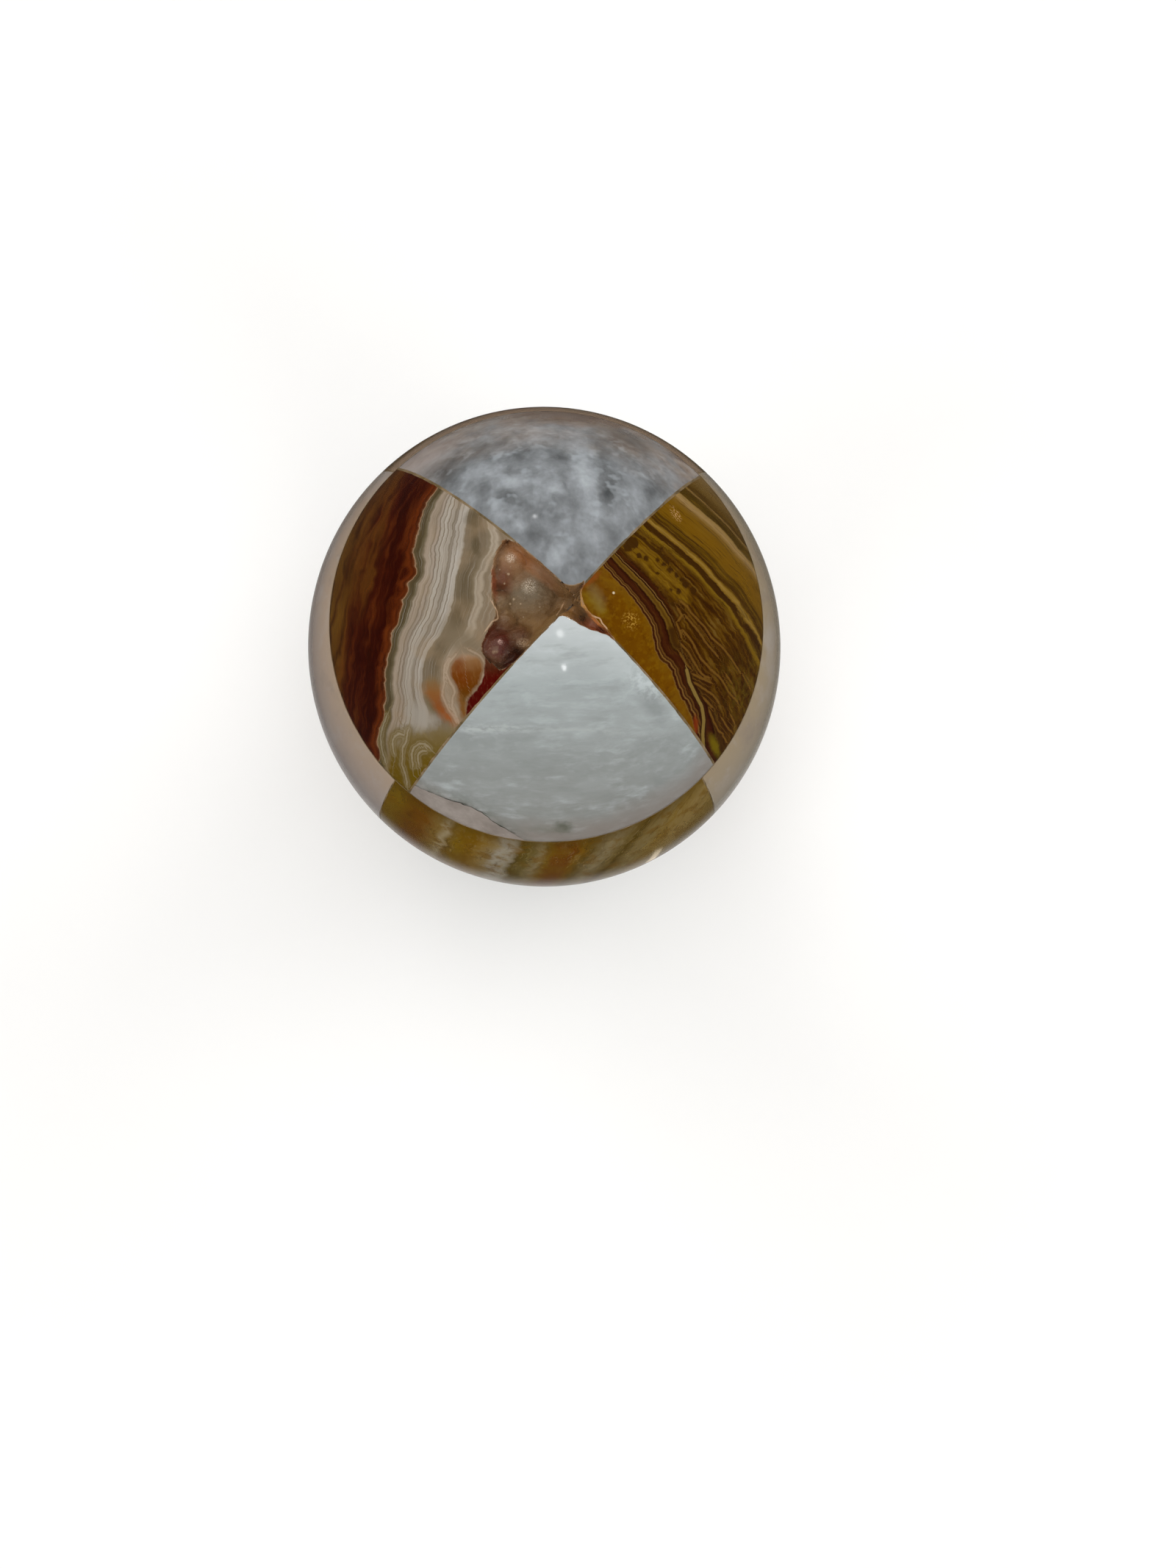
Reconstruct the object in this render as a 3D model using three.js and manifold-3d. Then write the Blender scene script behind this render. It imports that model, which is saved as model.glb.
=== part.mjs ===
import * as THREE from 'three';
import { mergeVertices } from 'three/addons/utils/BufferGeometryUtils.js';
import Module from 'manifold-3d';

const wasm = await Module();
wasm.setup();

// A polished egg turned from twelve glued blocks of onyx and marble: three tiers of four blocks.
// Millimetres, +Z up along the egg's axis, -Y to the front.
// The origin is the middle of the small flat that the egg stands on.

// The turned outline
const WIDEST_RADIUS = 33;
const HALF_LENGTH = 42.5;
const WIDEST_BELOW_MIDDLE = 4;
const FOOT_RADIUS = 8.5;
const OUTLINE_STEPS = 26;
const FACETS_AROUND = 64;

// The stack of blocks, from the pointed end down
const CROWN_HEIGHT = 19.7;
const BLOCK_HEIGHT = 34;
const JOINT = 0.3;
const CEMENT = 0.2;
const CLEARANCE = (JOINT - CEMENT) / 2;

// Upright joints of each tier: the compass angle of the plane's normal in degrees, and the plane's
// distance from the egg's axis along that normal. Hand-sawn blocks leave them a little out of line.
const CROWN_JOINTS = {
  backLeft: { angle: 47.5, offset: 1.58 },
  frontRight: { angle: 47.7, offset: 1.11 },
  backRight: { angle: 139.1, offset: -2.04 },
  frontLeft: { angle: 135.8, offset: -2.31 },
};
const BELLY_JOINTS = {
  backLeft: { angle: 45.3, offset: 0 },
  frontRight: { angle: 45.3, offset: 0 },
  backRight: { angle: 135.9, offset: 0 },
  frontLeft: { angle: 135.9, offset: 0 },
};
const BASE_JOINTS = {
  backLeft: { angle: 44.4, offset: 0.5 },
  frontRight: { angle: 44.4, offset: 0.5 },
  backRight: { angle: 135, offset: -0.4 },
  frontLeft: { angle: 135, offset: -0.4 },
};

// The two joints that bound each block, and on which side of them it lies
const CORNERS = {
  back: [['backLeft', 1], ['backRight', 1]],
  right: [['frontRight', 1], ['backRight', -1]],
  left: [['backLeft', -1], ['frontLeft', 1]],
  front: [['frontRight', -1], ['frontLeft', -1]],
};

// Each upright joint's two crossing joints, and on which side of them its cement lies
const SHEETS = {
  backLeft: [['backRight', 1], ['frontLeft', 1]],
  frontRight: [['backRight', -1], ['frontLeft', -1]],
  backRight: [['backLeft', 1], ['frontRight', 1]],
  frontLeft: [['backLeft', -1], ['frontRight', -1]],
};

// The natural hollow at the crown that was filled with resin before turning, in plan: the blunted
// tips of three blocks, and the rim of the hollow in the left block between its two seams
const HOLLOW_DEPTH = 4.2;
const BACK_TIP = [[1, 1.2], [1.7, 0.85], [2.4, 0.77], [3, 1], [3.6, 1.5]];
const RIGHT_TIP = [[3.5, 0.7], [3.2, 0], [3.4, -1], [4.4, -2.3], [5.8, -3.5], [6.9, -4.7]];
const FRONT_TIP = [[6.6, -4.75], [6.1, -4.3], [4.1, -3.7], [3, -3.3], [1.25, -2.25]];
const LEFT_RIM = [
  [-6.6, -7.5], [-7.5, -5.6], [-6.7, -3.9], [-5.6, -2.4],
  [-6.2, -0.4], [-6.3, 2.15], [-5.8, 4.6],
];
const SEAM_FROM = { backLeft: 0.4, frontLeft: 0.6 };
const SEAM_TO = { backLeft: -4.6, frontLeft: -4.7 };

// Rounded lumps on the hollow's wall: place in plan, radius, and how deep the top of each lies
const LUMPS = [
  { x: -2.3, y: 0.2, radius: 4.4, under: 1.3 },
  { x: -4, y: 3.6, radius: 2, under: 0.45 },
  { x: -5.3, y: -5.15, radius: 2.5, under: 0.35 },
  { x: -4.9, y: 1.8, radius: 1.4, under: 0.8 },
  { x: -5.2, y: -0.7, radius: 1.2, under: 0.6 },
  { x: -4.7, y: -2.4, radius: 1.3, under: 0.9 },
  { x: -3.9, y: -7, radius: 1.4, under: 1.2 },
  { x: -1.4, y: 2.9, radius: 1.6, under: 1.1 },
  { x: -0.9, y: -3, radius: 2.2, under: 2.2 },
  { x: 1.9, y: -1, radius: 1.9, under: 2.3 },
  { x: 4.4, y: -2.9, radius: 1, under: 0.6 },
];

// The sliver that broke off the front block's lower edge and was glued back
const CRACK = [
  [-17.2, -19.1], [-14.5, -20.3], [-12.2, -21.3], [-9.6, -22],
  [-7.2, -23.2], [-6.8, -23.9], [-4, -25.4], [-2.4, -26.8],
];

const STONES = {
  greyMarble: { color: 0x8e9194, roughness: 0.12 },
  whiteOnyx: { color: 0xa6afad, roughness: 0.12 },
  redBrownOnyx: { color: 0x6b3a1c, roughness: 0.12 },
  goldBrownOnyx: { color: 0x70531c, roughness: 0.12 },
  paleOnyx: { color: 0x9a9088, roughness: 0.12 },
  amberOnyx: { color: 0x6e5226, roughness: 0.12 },
  darkAmberOnyx: { color: 0x5e3f22, roughness: 0.12 },
  pinkGreyOnyx: { color: 0x978d87, roughness: 0.14 },
  resin: { color: 0x5c4a30, roughness: 0.08, transparent: true, opacity: 0.75 },
  cement: { color: 0x8d765c, roughness: 0.4 },
};

// Sizes that follow from the driving ones
const FOOT_SHARE = (FOOT_RADIUS / WIDEST_RADIUS) ** 2;
const MIDDLE_HEIGHT = WIDEST_BELOW_MIDDLE * FOOT_SHARE + Math.sqrt(
  (WIDEST_BELOW_MIDDLE * FOOT_SHARE) ** 2
  - FOOT_SHARE * (HALF_LENGTH ** 2 + WIDEST_BELOW_MIDDLE ** 2) + HALF_LENGTH ** 2);
const TOP = MIDDLE_HEIGHT + HALF_LENGTH;
const CROWN_JOINT = TOP - CROWN_HEIGHT;
const BASE_JOINT = CROWN_JOINT - BLOCK_HEIGHT;
const REACH = 3 * HALF_LENGTH;

// Radius of the turned outline at a height above the foot
function radiusAt(height) {
  const z = height - MIDDLE_HEIGHT;
  const across = HALF_LENGTH ** 2 - z ** 2;
  const along = HALF_LENGTH ** 2 + WIDEST_BELOW_MIDDLE ** 2 + 2 * WIDEST_BELOW_MIDDLE * z;
  return WIDEST_RADIUS * Math.sqrt(Math.max(0, across / along));
}

// Height of the turned surface over a point in plan, by halving the span above the widest circle
function surfaceHeight(x, y) {
  let low = MIDDLE_HEIGHT - WIDEST_BELOW_MIDDLE;
  let high = TOP;
  for (let step = 0; step < 40; step += 1) {
    const middle = (low + high) / 2;
    if (radiusAt(middle) > Math.hypot(x, y)) {
      low = middle;
    } else {
      high = middle;
    }
  }
  return low;
}

// A closed three.js geometry as a solid that can be cut and joined
function solid(geometry) {
  const bare = geometry.clone();
  bare.deleteAttribute('normal');
  bare.deleteAttribute('uv');
  const merged = mergeVertices(bare, 1e-5);
  const triangles = [];
  for (let i = 0; i < merged.index.count; i += 3) {
    const [a, b, c] = [merged.index.getX(i), merged.index.getX(i + 1), merged.index.getX(i + 2)];
    if (a !== b && b !== c && c !== a) {
      triangles.push(a, b, c);
    }
  }
  return new wasm.Manifold(new wasm.Mesh({
    numProp: 3,
    vertProperties: new Float32Array(merged.attributes.position.array),
    triVerts: new Uint32Array(triangles),
  }));
}

// A cut solid as a named mesh in its stone
function piece(name, body, stone) {
  const cut = body.getMesh();
  const geometry = new THREE.BufferGeometry();
  geometry.setAttribute('position', new THREE.BufferAttribute(new Float32Array(cut.vertProperties), 3));
  geometry.setIndex(new THREE.BufferAttribute(new Uint32Array(cut.triVerts), 1));
  geometry.computeVertexNormals();
  const mesh = new THREE.Mesh(geometry, new THREE.MeshStandardMaterial({ metalness: 0, ...STONES[stone] }));
  mesh.name = name;
  return mesh;
}

// The whole turned egg with its ground foot, lathed and stood upright
function turnedEgg() {
  const outline = [new THREE.Vector2(0, 0)];
  const footTurn = Math.acos(-MIDDLE_HEIGHT / HALF_LENGTH);
  for (let step = 0; step < OUTLINE_STEPS; step += 1) {
    const turn = footTurn * (1 - step / OUTLINE_STEPS);
    const height = MIDDLE_HEIGHT + HALF_LENGTH * Math.cos(turn);
    outline.push(new THREE.Vector2(radiusAt(height), height));
  }
  outline.push(new THREE.Vector2(0, TOP));
  return solid(new THREE.LatheGeometry(outline, FACETS_AROUND).rotateX(Math.PI / 2));
}

// The space on one side of an upright joint plane, held off the plane by a trim
function besideJoint(joint, side, trim) {
  const angle = THREE.MathUtils.degToRad(joint.angle);
  const centre = joint.offset + side * (trim + REACH / 2);
  const box = new THREE.BoxGeometry(REACH, REACH, REACH);
  box.rotateZ(angle);
  box.translate(centre * Math.cos(angle), centre * Math.sin(angle), TOP / 2);
  return solid(box);
}

// The slab of the egg between two levels
function tierSlab(egg, low, high) {
  const box = new THREE.BoxGeometry(REACH, REACH, high - low);
  box.translate(0, 0, (low + high) / 2);
  return egg.intersect(solid(box));
}

function cornerBlock(slab, joints, corner, trim = JOINT / 2) {
  let block = slab;
  for (const [name, side] of CORNERS[corner]) {
    block = block.intersect(besideJoint(joints[name], side, trim));
  }
  return block;
}

// An upright prism over an outline in plan, between two levels
function prism(shape, low, high) {
  const geometry = new THREE.ExtrudeGeometry(shape, { depth: high - low, bevelEnabled: false, curveSegments: 3 });
  return solid(geometry.translate(0, 0, low));
}

const asVectors = (points) => points.map(([x, y]) => new THREE.Vector2(x, y));

// The point at a given x on the far face of a crown joint's cement, seen from the left block
function seamPoint(name, x) {
  const { angle, offset } = CROWN_JOINTS[name];
  const [cos, sin] = [Math.cos(THREE.MathUtils.degToRad(angle)), Math.sin(THREE.MathUtils.degToRad(angle))];
  const side = name === 'backLeft' ? 1 : -1;
  return [x, (offset + side * (CEMENT + CLEARANCE) / 2 - x * cos) / sin];
}

// The hollow's outline in plan, drawn in from its wall by a small distance
function hollowShape(inset) {
  const outline = asVectors([
    seamPoint('backLeft', SEAM_FROM.backLeft), ...BACK_TIP, ...RIGHT_TIP, ...FRONT_TIP,
    seamPoint('frontLeft', SEAM_FROM.frontLeft), seamPoint('frontLeft', SEAM_TO.frontLeft),
    ...LEFT_RIM, seamPoint('backLeft', SEAM_TO.backLeft),
  ]);
  return new THREE.Shape(outline.map((point, i) => {
    const before = outline.at(i - 1);
    const after = outline[(i + 1) % outline.length];
    const along = after.clone().sub(before).normalize();
    return new THREE.Vector2(point.x + along.y * inset, point.y - along.x * inset);
  }));
}

// The hollow, with the lumps of its wall standing in it
function hollow(shape, floor, top, growth) {
  let space = prism(shape, floor, top);
  for (const lump of LUMPS) {
    const ball = new THREE.SphereGeometry(lump.radius + growth, 10, 7).rotateX(Math.PI / 2);
    ball.translate(lump.x, lump.y, surfaceHeight(lump.x, lump.y) - lump.under - lump.radius);
    space = space.subtract(solid(ball));
  }
  return space;
}

// Everything outside the crack at the foot of the front crown block, from a little beyond it
function outsideCrack(beyond) {
  const shape = new THREE.Shape(asVectors([...CRACK, [0, -REACH], [-REACH, -REACH]]));
  return prism(shape, CROWN_JOINT, TOP).translate([-beyond / 2, -beyond, 0]);
}

// The web of cement between the blocks: one sheet in each upright joint, one disc in each level one
function jointCement(egg) {
  const levels = [-JOINT, BASE_JOINT, CROWN_JOINT, TOP];
  const sheets = [BASE_JOINTS, BELLY_JOINTS, CROWN_JOINTS].flatMap((joints, tier) => {
    const slab = tierSlab(egg, levels[tier], levels[tier + 1]);
    return Object.entries(SHEETS).map(([name, crossings]) => {
      let sheet = slab;
      for (const side of [1, -1]) {
        sheet = sheet.intersect(besideJoint(joints[name], side, -CEMENT / 2));
      }
      for (const [crossing, side] of crossings) {
        sheet = sheet.intersect(besideJoint(joints[crossing], side, 0));
      }
      return sheet;
    });
  });
  const discs = [BASE_JOINT, CROWN_JOINT].map((level) => tierSlab(egg, level - CEMENT / 2, level + CEMENT / 2));
  return [...discs, ...sheets].reduce((web, sheet) => web.add(sheet));
}

const egg = turnedEgg();
const crown = tierSlab(egg, CROWN_JOINT + JOINT / 2, TOP + JOINT);
const belly = tierSlab(egg, BASE_JOINT + JOINT / 2, CROWN_JOINT - JOINT / 2);
const base = tierSlab(egg, -JOINT, BASE_JOINT - JOINT / 2);

const floor = TOP - HOLLOW_DEPTH;
const crownHollow = hollow(hollowShape(0), floor, TOP + JOINT, 0);
const resin = egg.intersect(hollow(hollowShape(CLEARANCE), floor + CLEARANCE, TOP + JOINT, CLEARANCE));
const cement = jointCement(egg).subtract(prism(hollowShape(0), floor, TOP + JOINT));

const crownRight = cornerBlock(crown, CROWN_JOINTS, 'right')
  .subtract(cornerBlock(crown, CROWN_JOINTS, 'left', -JOINT / 2));
const crownFront = cornerBlock(crown, CROWN_JOINTS, 'front');

const part = new THREE.Group();
part.add(
  piece('crown_front', crownFront.subtract(outsideCrack(0)).subtract(crownHollow), 'whiteOnyx'),
  piece('crown_front_sliver', crownFront.intersect(outsideCrack(CLEARANCE)), 'pinkGreyOnyx'),
  piece('crown_right', crownRight.subtract(crownHollow), 'goldBrownOnyx'),
  piece('crown_back', cornerBlock(crown, CROWN_JOINTS, 'back').subtract(crownHollow), 'greyMarble'),
  piece('crown_left', cornerBlock(crown, CROWN_JOINTS, 'left').subtract(crownHollow), 'redBrownOnyx'),
  piece('crown_resin', resin, 'resin'),
  piece('belly_front', cornerBlock(belly, BELLY_JOINTS, 'front'), 'amberOnyx'),
  piece('belly_right', cornerBlock(belly, BELLY_JOINTS, 'right'), 'paleOnyx'),
  piece('belly_back', cornerBlock(belly, BELLY_JOINTS, 'back'), 'darkAmberOnyx'),
  piece('belly_left', cornerBlock(belly, BELLY_JOINTS, 'left'), 'paleOnyx'),
  piece('base_front', cornerBlock(base, BASE_JOINTS, 'front'), 'whiteOnyx'),
  piece('base_right', cornerBlock(base, BASE_JOINTS, 'right'), 'goldBrownOnyx'),
  piece('base_back', cornerBlock(base, BASE_JOINTS, 'back'), 'greyMarble'),
  piece('base_left', cornerBlock(base, BASE_JOINTS, 'left'), 'redBrownOnyx'),
  piece('joint_cement', cement, 'cement'),
);

export default part;
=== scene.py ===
import math

import bpy
import numpy as np
from mathutils import Matrix, Vector, noise


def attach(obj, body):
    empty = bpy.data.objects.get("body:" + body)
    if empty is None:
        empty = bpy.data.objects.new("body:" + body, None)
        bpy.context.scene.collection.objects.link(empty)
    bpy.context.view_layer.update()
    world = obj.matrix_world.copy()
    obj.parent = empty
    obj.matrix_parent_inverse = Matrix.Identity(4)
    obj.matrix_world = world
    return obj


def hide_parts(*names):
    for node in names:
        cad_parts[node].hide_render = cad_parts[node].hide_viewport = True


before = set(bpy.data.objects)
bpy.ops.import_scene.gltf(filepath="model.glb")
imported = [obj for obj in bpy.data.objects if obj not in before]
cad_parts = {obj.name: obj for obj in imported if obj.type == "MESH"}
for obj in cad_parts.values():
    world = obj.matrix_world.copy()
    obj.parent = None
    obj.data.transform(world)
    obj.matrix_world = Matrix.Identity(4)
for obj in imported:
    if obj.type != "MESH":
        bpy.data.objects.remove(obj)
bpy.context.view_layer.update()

# Lengths are in millimetres, and become metres where a mesh, lamp or camera is made
MM = 0.001

# The turned outline of the egg
WIDEST_RADIUS = 33.0
HALF_LENGTH = 42.5
WIDEST_BELOW_MIDDLE = 4.0
FOOT_RADIUS = 8.5

# The stack of blocks, from the pointed end down
CROWN_HEIGHT = 19.7
BLOCK_HEIGHT = 34.0

# Upright joints of each tier: the angle of the plane's normal in degrees, and its offset from the axis
CROWN_JOINTS = {"back_left": (47.5, 1.58), "front_right": (47.7, 1.11),
                "back_right": (139.1, -2.04), "front_left": (135.8, -2.31)}
BELLY_JOINTS = {"back_left": (45.3, 0.0), "front_right": (45.3, 0.0),
                "back_right": (135.9, 0.0), "front_left": (135.9, 0.0)}
BASE_JOINTS = {"back_left": (44.4, 0.5), "front_right": (44.4, 0.5),
               "back_right": (135.0, -0.4), "front_left": (135.0, -0.4)}

# Which way round from its normal each joint runs out from the axis
JOINT_TURN = {"back_left": 1, "front_right": -1, "back_right": -1, "front_left": 1}

# Each block's joints in counterclockwise order, and on which side of them it lies
CORNERS = {"back": (("back_right", 1), ("back_left", 1)),
           "left": (("back_left", -1), ("front_left", 1)),
           "front": (("front_left", -1), ("front_right", -1)),
           "right": (("front_right", 1), ("back_right", -1))}

# Half the glue line that shows between two blocks, and half the cement sheet that fills it
LINE_HALF = 0.085
CEMENT_HALF = 0.16
CEMENT_UNDER = 0.012

# The resin-filled hollow in plan: the blunted tips of three blocks and the rim in the left block
HOLLOW_DEPTH = 4.0
HOLLOW_OUTLINE = [
    (0.4, 1.9), (1.0, 1.2), (1.7, 0.85), (2.4, 0.77), (3.0, 1.0), (3.6, 1.5), (3.5, 0.7), (3.2, 0.0),
    (3.4, -1.0), (4.4, -2.3), (5.8, -3.5), (6.9, -4.7), (6.6, -4.75), (6.1, -4.3), (4.1, -3.7),
    (3.0, -3.3), (1.25, -2.25), (0.6, -2.85), (-4.7, -8.25), (-6.6, -7.5), (-7.5, -5.6), (-6.7, -3.9),
    (-5.6, -2.4), (-6.2, -0.4), (-6.3, 2.15), (-5.8, 4.6), (-4.6, 6.45),
]

# Rounded lumps on the hollow's wall: place in plan, radius, and how deep the top of each lies
LUMPS = [
    (-2.3, 0.2, 4.4, 1.3), (-4.0, 3.6, 2.0, 0.45), (-5.3, -5.15, 2.5, 0.35), (-4.9, 1.8, 1.4, 0.8),
    (-5.2, -0.7, 1.2, 0.6), (-4.7, -2.4, 1.3, 0.9), (-3.2, -4.3, 1.7, 1.25), (-3.9, -7.0, 1.4, 1.2),
    (-1.4, 2.9, 1.6, 1.1), (-0.9, -3.0, 2.2, 2.2), (1.9, -1.0, 1.9, 2.3), (4.4, -2.9, 1.0, 0.6),
]

# How the lumps run together, how steep the wall is beside them, and how rough it all is
LUMP_BLEND = 0.22
WALL_SLOPE = 2.4
RIM_WAVER = 0.12
WALL_GRAIN = ((0.1, 0.5, 5), (0.05, 0.22, 6))
UNDER_RESIN = 0.03
RESIN_LEAST = 0.004

# The crack along which a sliver broke off the front block's lower edge
CRACK = [
    (-15.91, -19.67), (-14.5, -20.3), (-12.2, -21.3), (-9.6, -22.0), (-7.2, -23.2), (-6.8, -23.9),
    (-4.0, -25.4), (-2.9, -26.25),
]

# Where the camera was held, and the way it looked
CAMERA_PLACE = (-1.93, -25.07, 206.57)
CAMERA_LOOK = (0.0476, 0.0398, -0.9981)
CAMERA_LENS = 27.0
CAMERA_SENSOR = 36.0

# How bright the room and its large soft lamps are, and how deep the stones' colours are in that light
ROOM_LIGHT = 0.03
BELOW_LIGHT = 0.4
OVERHEAD_POWER = 10.2
FILL_POWER = 5.8
STONE_SHADE = (0.69, 0.69, 0.69, 1.0)

FOOT_SHARE = (FOOT_RADIUS / WIDEST_RADIUS) ** 2
MIDDLE_HEIGHT = WIDEST_BELOW_MIDDLE * FOOT_SHARE + math.sqrt(
    (WIDEST_BELOW_MIDDLE * FOOT_SHARE) ** 2
    - FOOT_SHARE * (HALF_LENGTH ** 2 + WIDEST_BELOW_MIDDLE ** 2) + HALF_LENGTH ** 2)
TOP = MIDDLE_HEIGHT + HALF_LENGTH
CROWN_JOINT = TOP - CROWN_HEIGHT
BASE_JOINT = CROWN_JOINT - BLOCK_HEIGHT
SPREAD = HALF_LENGTH ** 2 + WIDEST_BELOW_MIDDLE ** 2


def radius_at(height):
    """Radius of the turned outline at a height above the foot."""
    z = np.asarray(height) - MIDDLE_HEIGHT
    share = (HALF_LENGTH ** 2 - z ** 2) / (SPREAD + 2 * WIDEST_BELOW_MIDDLE * z)
    return WIDEST_RADIUS * np.sqrt(np.maximum(share, 0))


def surface_height(x, y):
    """Height of the turned surface above its widest circle, over points in plan."""
    square = np.asarray(x) ** 2 + np.asarray(y) ** 2
    half = WIDEST_BELOW_MIDDLE * square
    whole = WIDEST_RADIUS ** 2
    root = half ** 2 - whole * (square * SPREAD - whole * HALF_LENGTH ** 2)
    return MIDDLE_HEIGHT + (np.sqrt(np.maximum(root, 0)) - half) / whole


def ripple(points, size, seed):
    """Smooth noise between about -0.5 and 0.5 at each point, with waves of a given size."""
    flat = np.asarray(points, float).reshape(-1, np.shape(points)[-1])
    found = [noise.noise(Vector((p[0] / size, p[1] / size,
                                 seed * 7.31 + (p[2] / size if len(p) > 2 else 0))))
             for p in flat]
    return np.array(found).reshape(np.shape(points)[:-1])


def rounded(outline, rounds, closed=True):
    """An outline with its corners cut, more smoothly with each round."""
    points = np.array(outline, float)
    for _ in range(rounds):
        after = np.roll(points, -1, axis=0)
        cut = np.stack([0.75 * points + 0.25 * after, 0.25 * points + 0.75 * after], 1)
        if closed:
            points = cut.reshape(-1, 2)
        else:
            points = np.vstack([points[:1], cut[:-1].reshape(-1, 2), points[-1:]])
    return points


def to_line(points, line, closed=False):
    """From each point in plan to a line of segments: the distance, the side and how far along it."""
    flat = np.asarray(points, float)[..., :2].reshape(-1, 2)
    start = np.array(line, float)
    end = np.roll(start, -1, axis=0)
    if not closed:
        start, end = start[:-1], end[:-1]
    best = np.full(len(flat), 1e9)
    side, along = np.ones(len(flat)), np.zeros(len(flat))
    passed = 0.0
    for (ax, ay), (bx, by) in zip(start, end):
        dx, dy = bx - ax, by - ay
        px, py = flat[:, 0] - ax, flat[:, 1] - ay
        length = math.hypot(dx, dy)
        share = np.clip((px * dx + py * dy) / length ** 2, 0, 1)
        gap = np.hypot(px - share * dx, py - share * dy)
        nearer = gap < best - 1e-9
        best = np.where(nearer, gap, best)
        side = np.where(nearer, np.sign(dx * py - dy * px), side)
        along = np.where(nearer, passed + share * length, along)
        passed += length
    return [found.reshape(np.shape(points)[:-1]) for found in (best, side, along)]


def inset(points, outline):
    """Distance in plan in from a closed outline, negative outside it."""
    x, y = points[..., 0], points[..., 1]
    inside = np.zeros(x.shape, bool)
    for (ax, ay), (bx, by) in zip(outline, np.roll(outline, -1, axis=0)):
        crosses = (ay > y) != (by > y)
        with np.errstate(divide="ignore", invalid="ignore"):
            inside ^= crosses & (x < ax + (y - ay) * (bx - ax) / (by - ay))
    gap = to_line(points, outline, closed=True)[0]
    return np.where(inside, gap, -gap)


HOLLOW_RIM = rounded(HOLLOW_OUTLINE, 2)
HOLLOW_REACH = 9.5


def in_hollow(plan):
    """How far in from the hollow's rim each point in plan lies, negative outside."""
    near = np.hypot(plan[..., 0], plan[..., 1]) < HOLLOW_REACH
    found = np.full(np.shape(plan)[:-1], -5.0)
    close = plan[near]
    found[near] = inset(close, HOLLOW_RIM) + RIM_WAVER * ripple(close, 0.7, 3)
    return found


def stone_height(plan):
    """Height of the polished surface, or of the lumpy wall where the hollow goes down from it."""
    x, y = plan[..., 0], plan[..., 1]
    surface = surface_height(x, y)
    depth_in = in_hollow(plan)
    deep = depth_in > 0
    wall = surface[deep] - np.minimum(HOLLOW_DEPTH, WALL_SLOPE * depth_in[deep])
    spot = plan[deep]
    for lx, ly, radius, under in LUMPS:
        square = radius ** 2 - (spot[:, 0] - lx) ** 2 - (spot[:, 1] - ly) ** 2
        centre = surface_height(lx, ly) - under - radius
        ball = np.where(square > 0, centre + np.sqrt(np.maximum(square, 0)), -99)
        wall = np.logaddexp(wall / LUMP_BLEND,
                            np.minimum(ball, surface[deep] - UNDER_RESIN) / LUMP_BLEND) * LUMP_BLEND
    grain = sum(height * ripple(spot, size, seed) for height, size, seed in WALL_GRAIN)
    wall = wall + grain * np.minimum(1, depth_in[deep] / 0.3)
    surface[deep] = np.minimum(wall, surface[deep] - RESIN_LEAST)
    return surface


def normal_of(joints, name):
    """The direction in plan that an upright joint's plane faces."""
    angle = math.radians(joints[name][0])
    return np.array([math.cos(angle), math.sin(angle)])


def apex(joints, corner):
    """Where the inner edges of a block's two joints meet, in plan."""
    rows = [normal_of(joints, name) for name, _ in CORNERS[corner]]
    ends = [joints[name][1] + side * LINE_HALF for name, side in CORNERS[corner]]
    return np.linalg.solve(np.array(rows), np.array(ends))


def on_circle(radius, turn):
    """Points in plan at a distance from the axis, at angles in radians."""
    return np.stack([radius * np.cos(turn), radius * np.sin(turn)], -1)


def on_joint(joints, name, side, radius, trim=LINE_HALF):
    """The point at a distance from the axis on a joint's edge, in plan."""
    angle, offset = joints[name]
    return on_circle(radius,
                     math.radians(angle) + JOINT_TURN[name] * np.arccos((offset + side * trim) / radius))


def joint_ends(joints, corner, radius):
    """Where a block's two joint edges reach a distance from the axis, in plan."""
    return [on_joint(joints, name, side, radius) for name, side in CORNERS[corner]]


def arc(ends, steps):
    """Points along a circle about the axis, counterclockwise between two ends."""
    first, last = (math.atan2(y, x) for x, y in ends)
    if last < first:
        last += 2 * math.pi
    return on_circle(math.hypot(*ends[0]), np.linspace(first, last, steps))


def resampled(line, steps):
    """A line of segments with a given number of evenly spaced points."""
    line = np.array(line, float)
    along = np.concatenate([[0], np.cumsum(np.hypot(*np.diff(line, axis=0).T))])
    at = np.linspace(0, along[-1], steps)
    return np.stack([np.interp(at, along, line[:, 0]), np.interp(at, along, line[:, 1])], -1)


def grid_faces(rows, columns):
    """The four-sided faces of a grid of points, whose rows run outwards and columns counterclockwise."""
    first = (np.arange(rows - 1)[:, None] * columns + np.arange(columns - 1)[None, :]).ravel()
    return np.stack([first, first + columns, first + columns + 1, first + 1], 1).tolist()


def border(rows, columns):
    """The grid's border points in order, counterclockwise seen from outside."""
    out = [row * columns for row in range(rows)]
    across = [(rows - 1) * columns + column for column in range(1, columns)]
    back = [row * columns + columns - 1 for row in range(rows - 2, -1, -1)]
    return out + across + back + list(range(columns - 2, 0, -1))


def slab(grid, low):
    """A closed body under a grid of points, with upright walls and a flat underside."""
    rows, columns = grid.shape[:2]
    points = grid.reshape(-1, 3)
    loop = border(rows, columns)
    under = points[loop].copy()
    under[:, 2] = low
    count = len(points)
    faces = grid_faces(rows, columns)
    for i, here in enumerate(loop):
        j = (i + 1) % len(loop)
        faces.append([here, count + i, count + j, loop[j]])
    faces.append([count + i for i in range(len(loop) - 1, -1, -1)])
    return np.vstack([points, under]), faces


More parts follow.
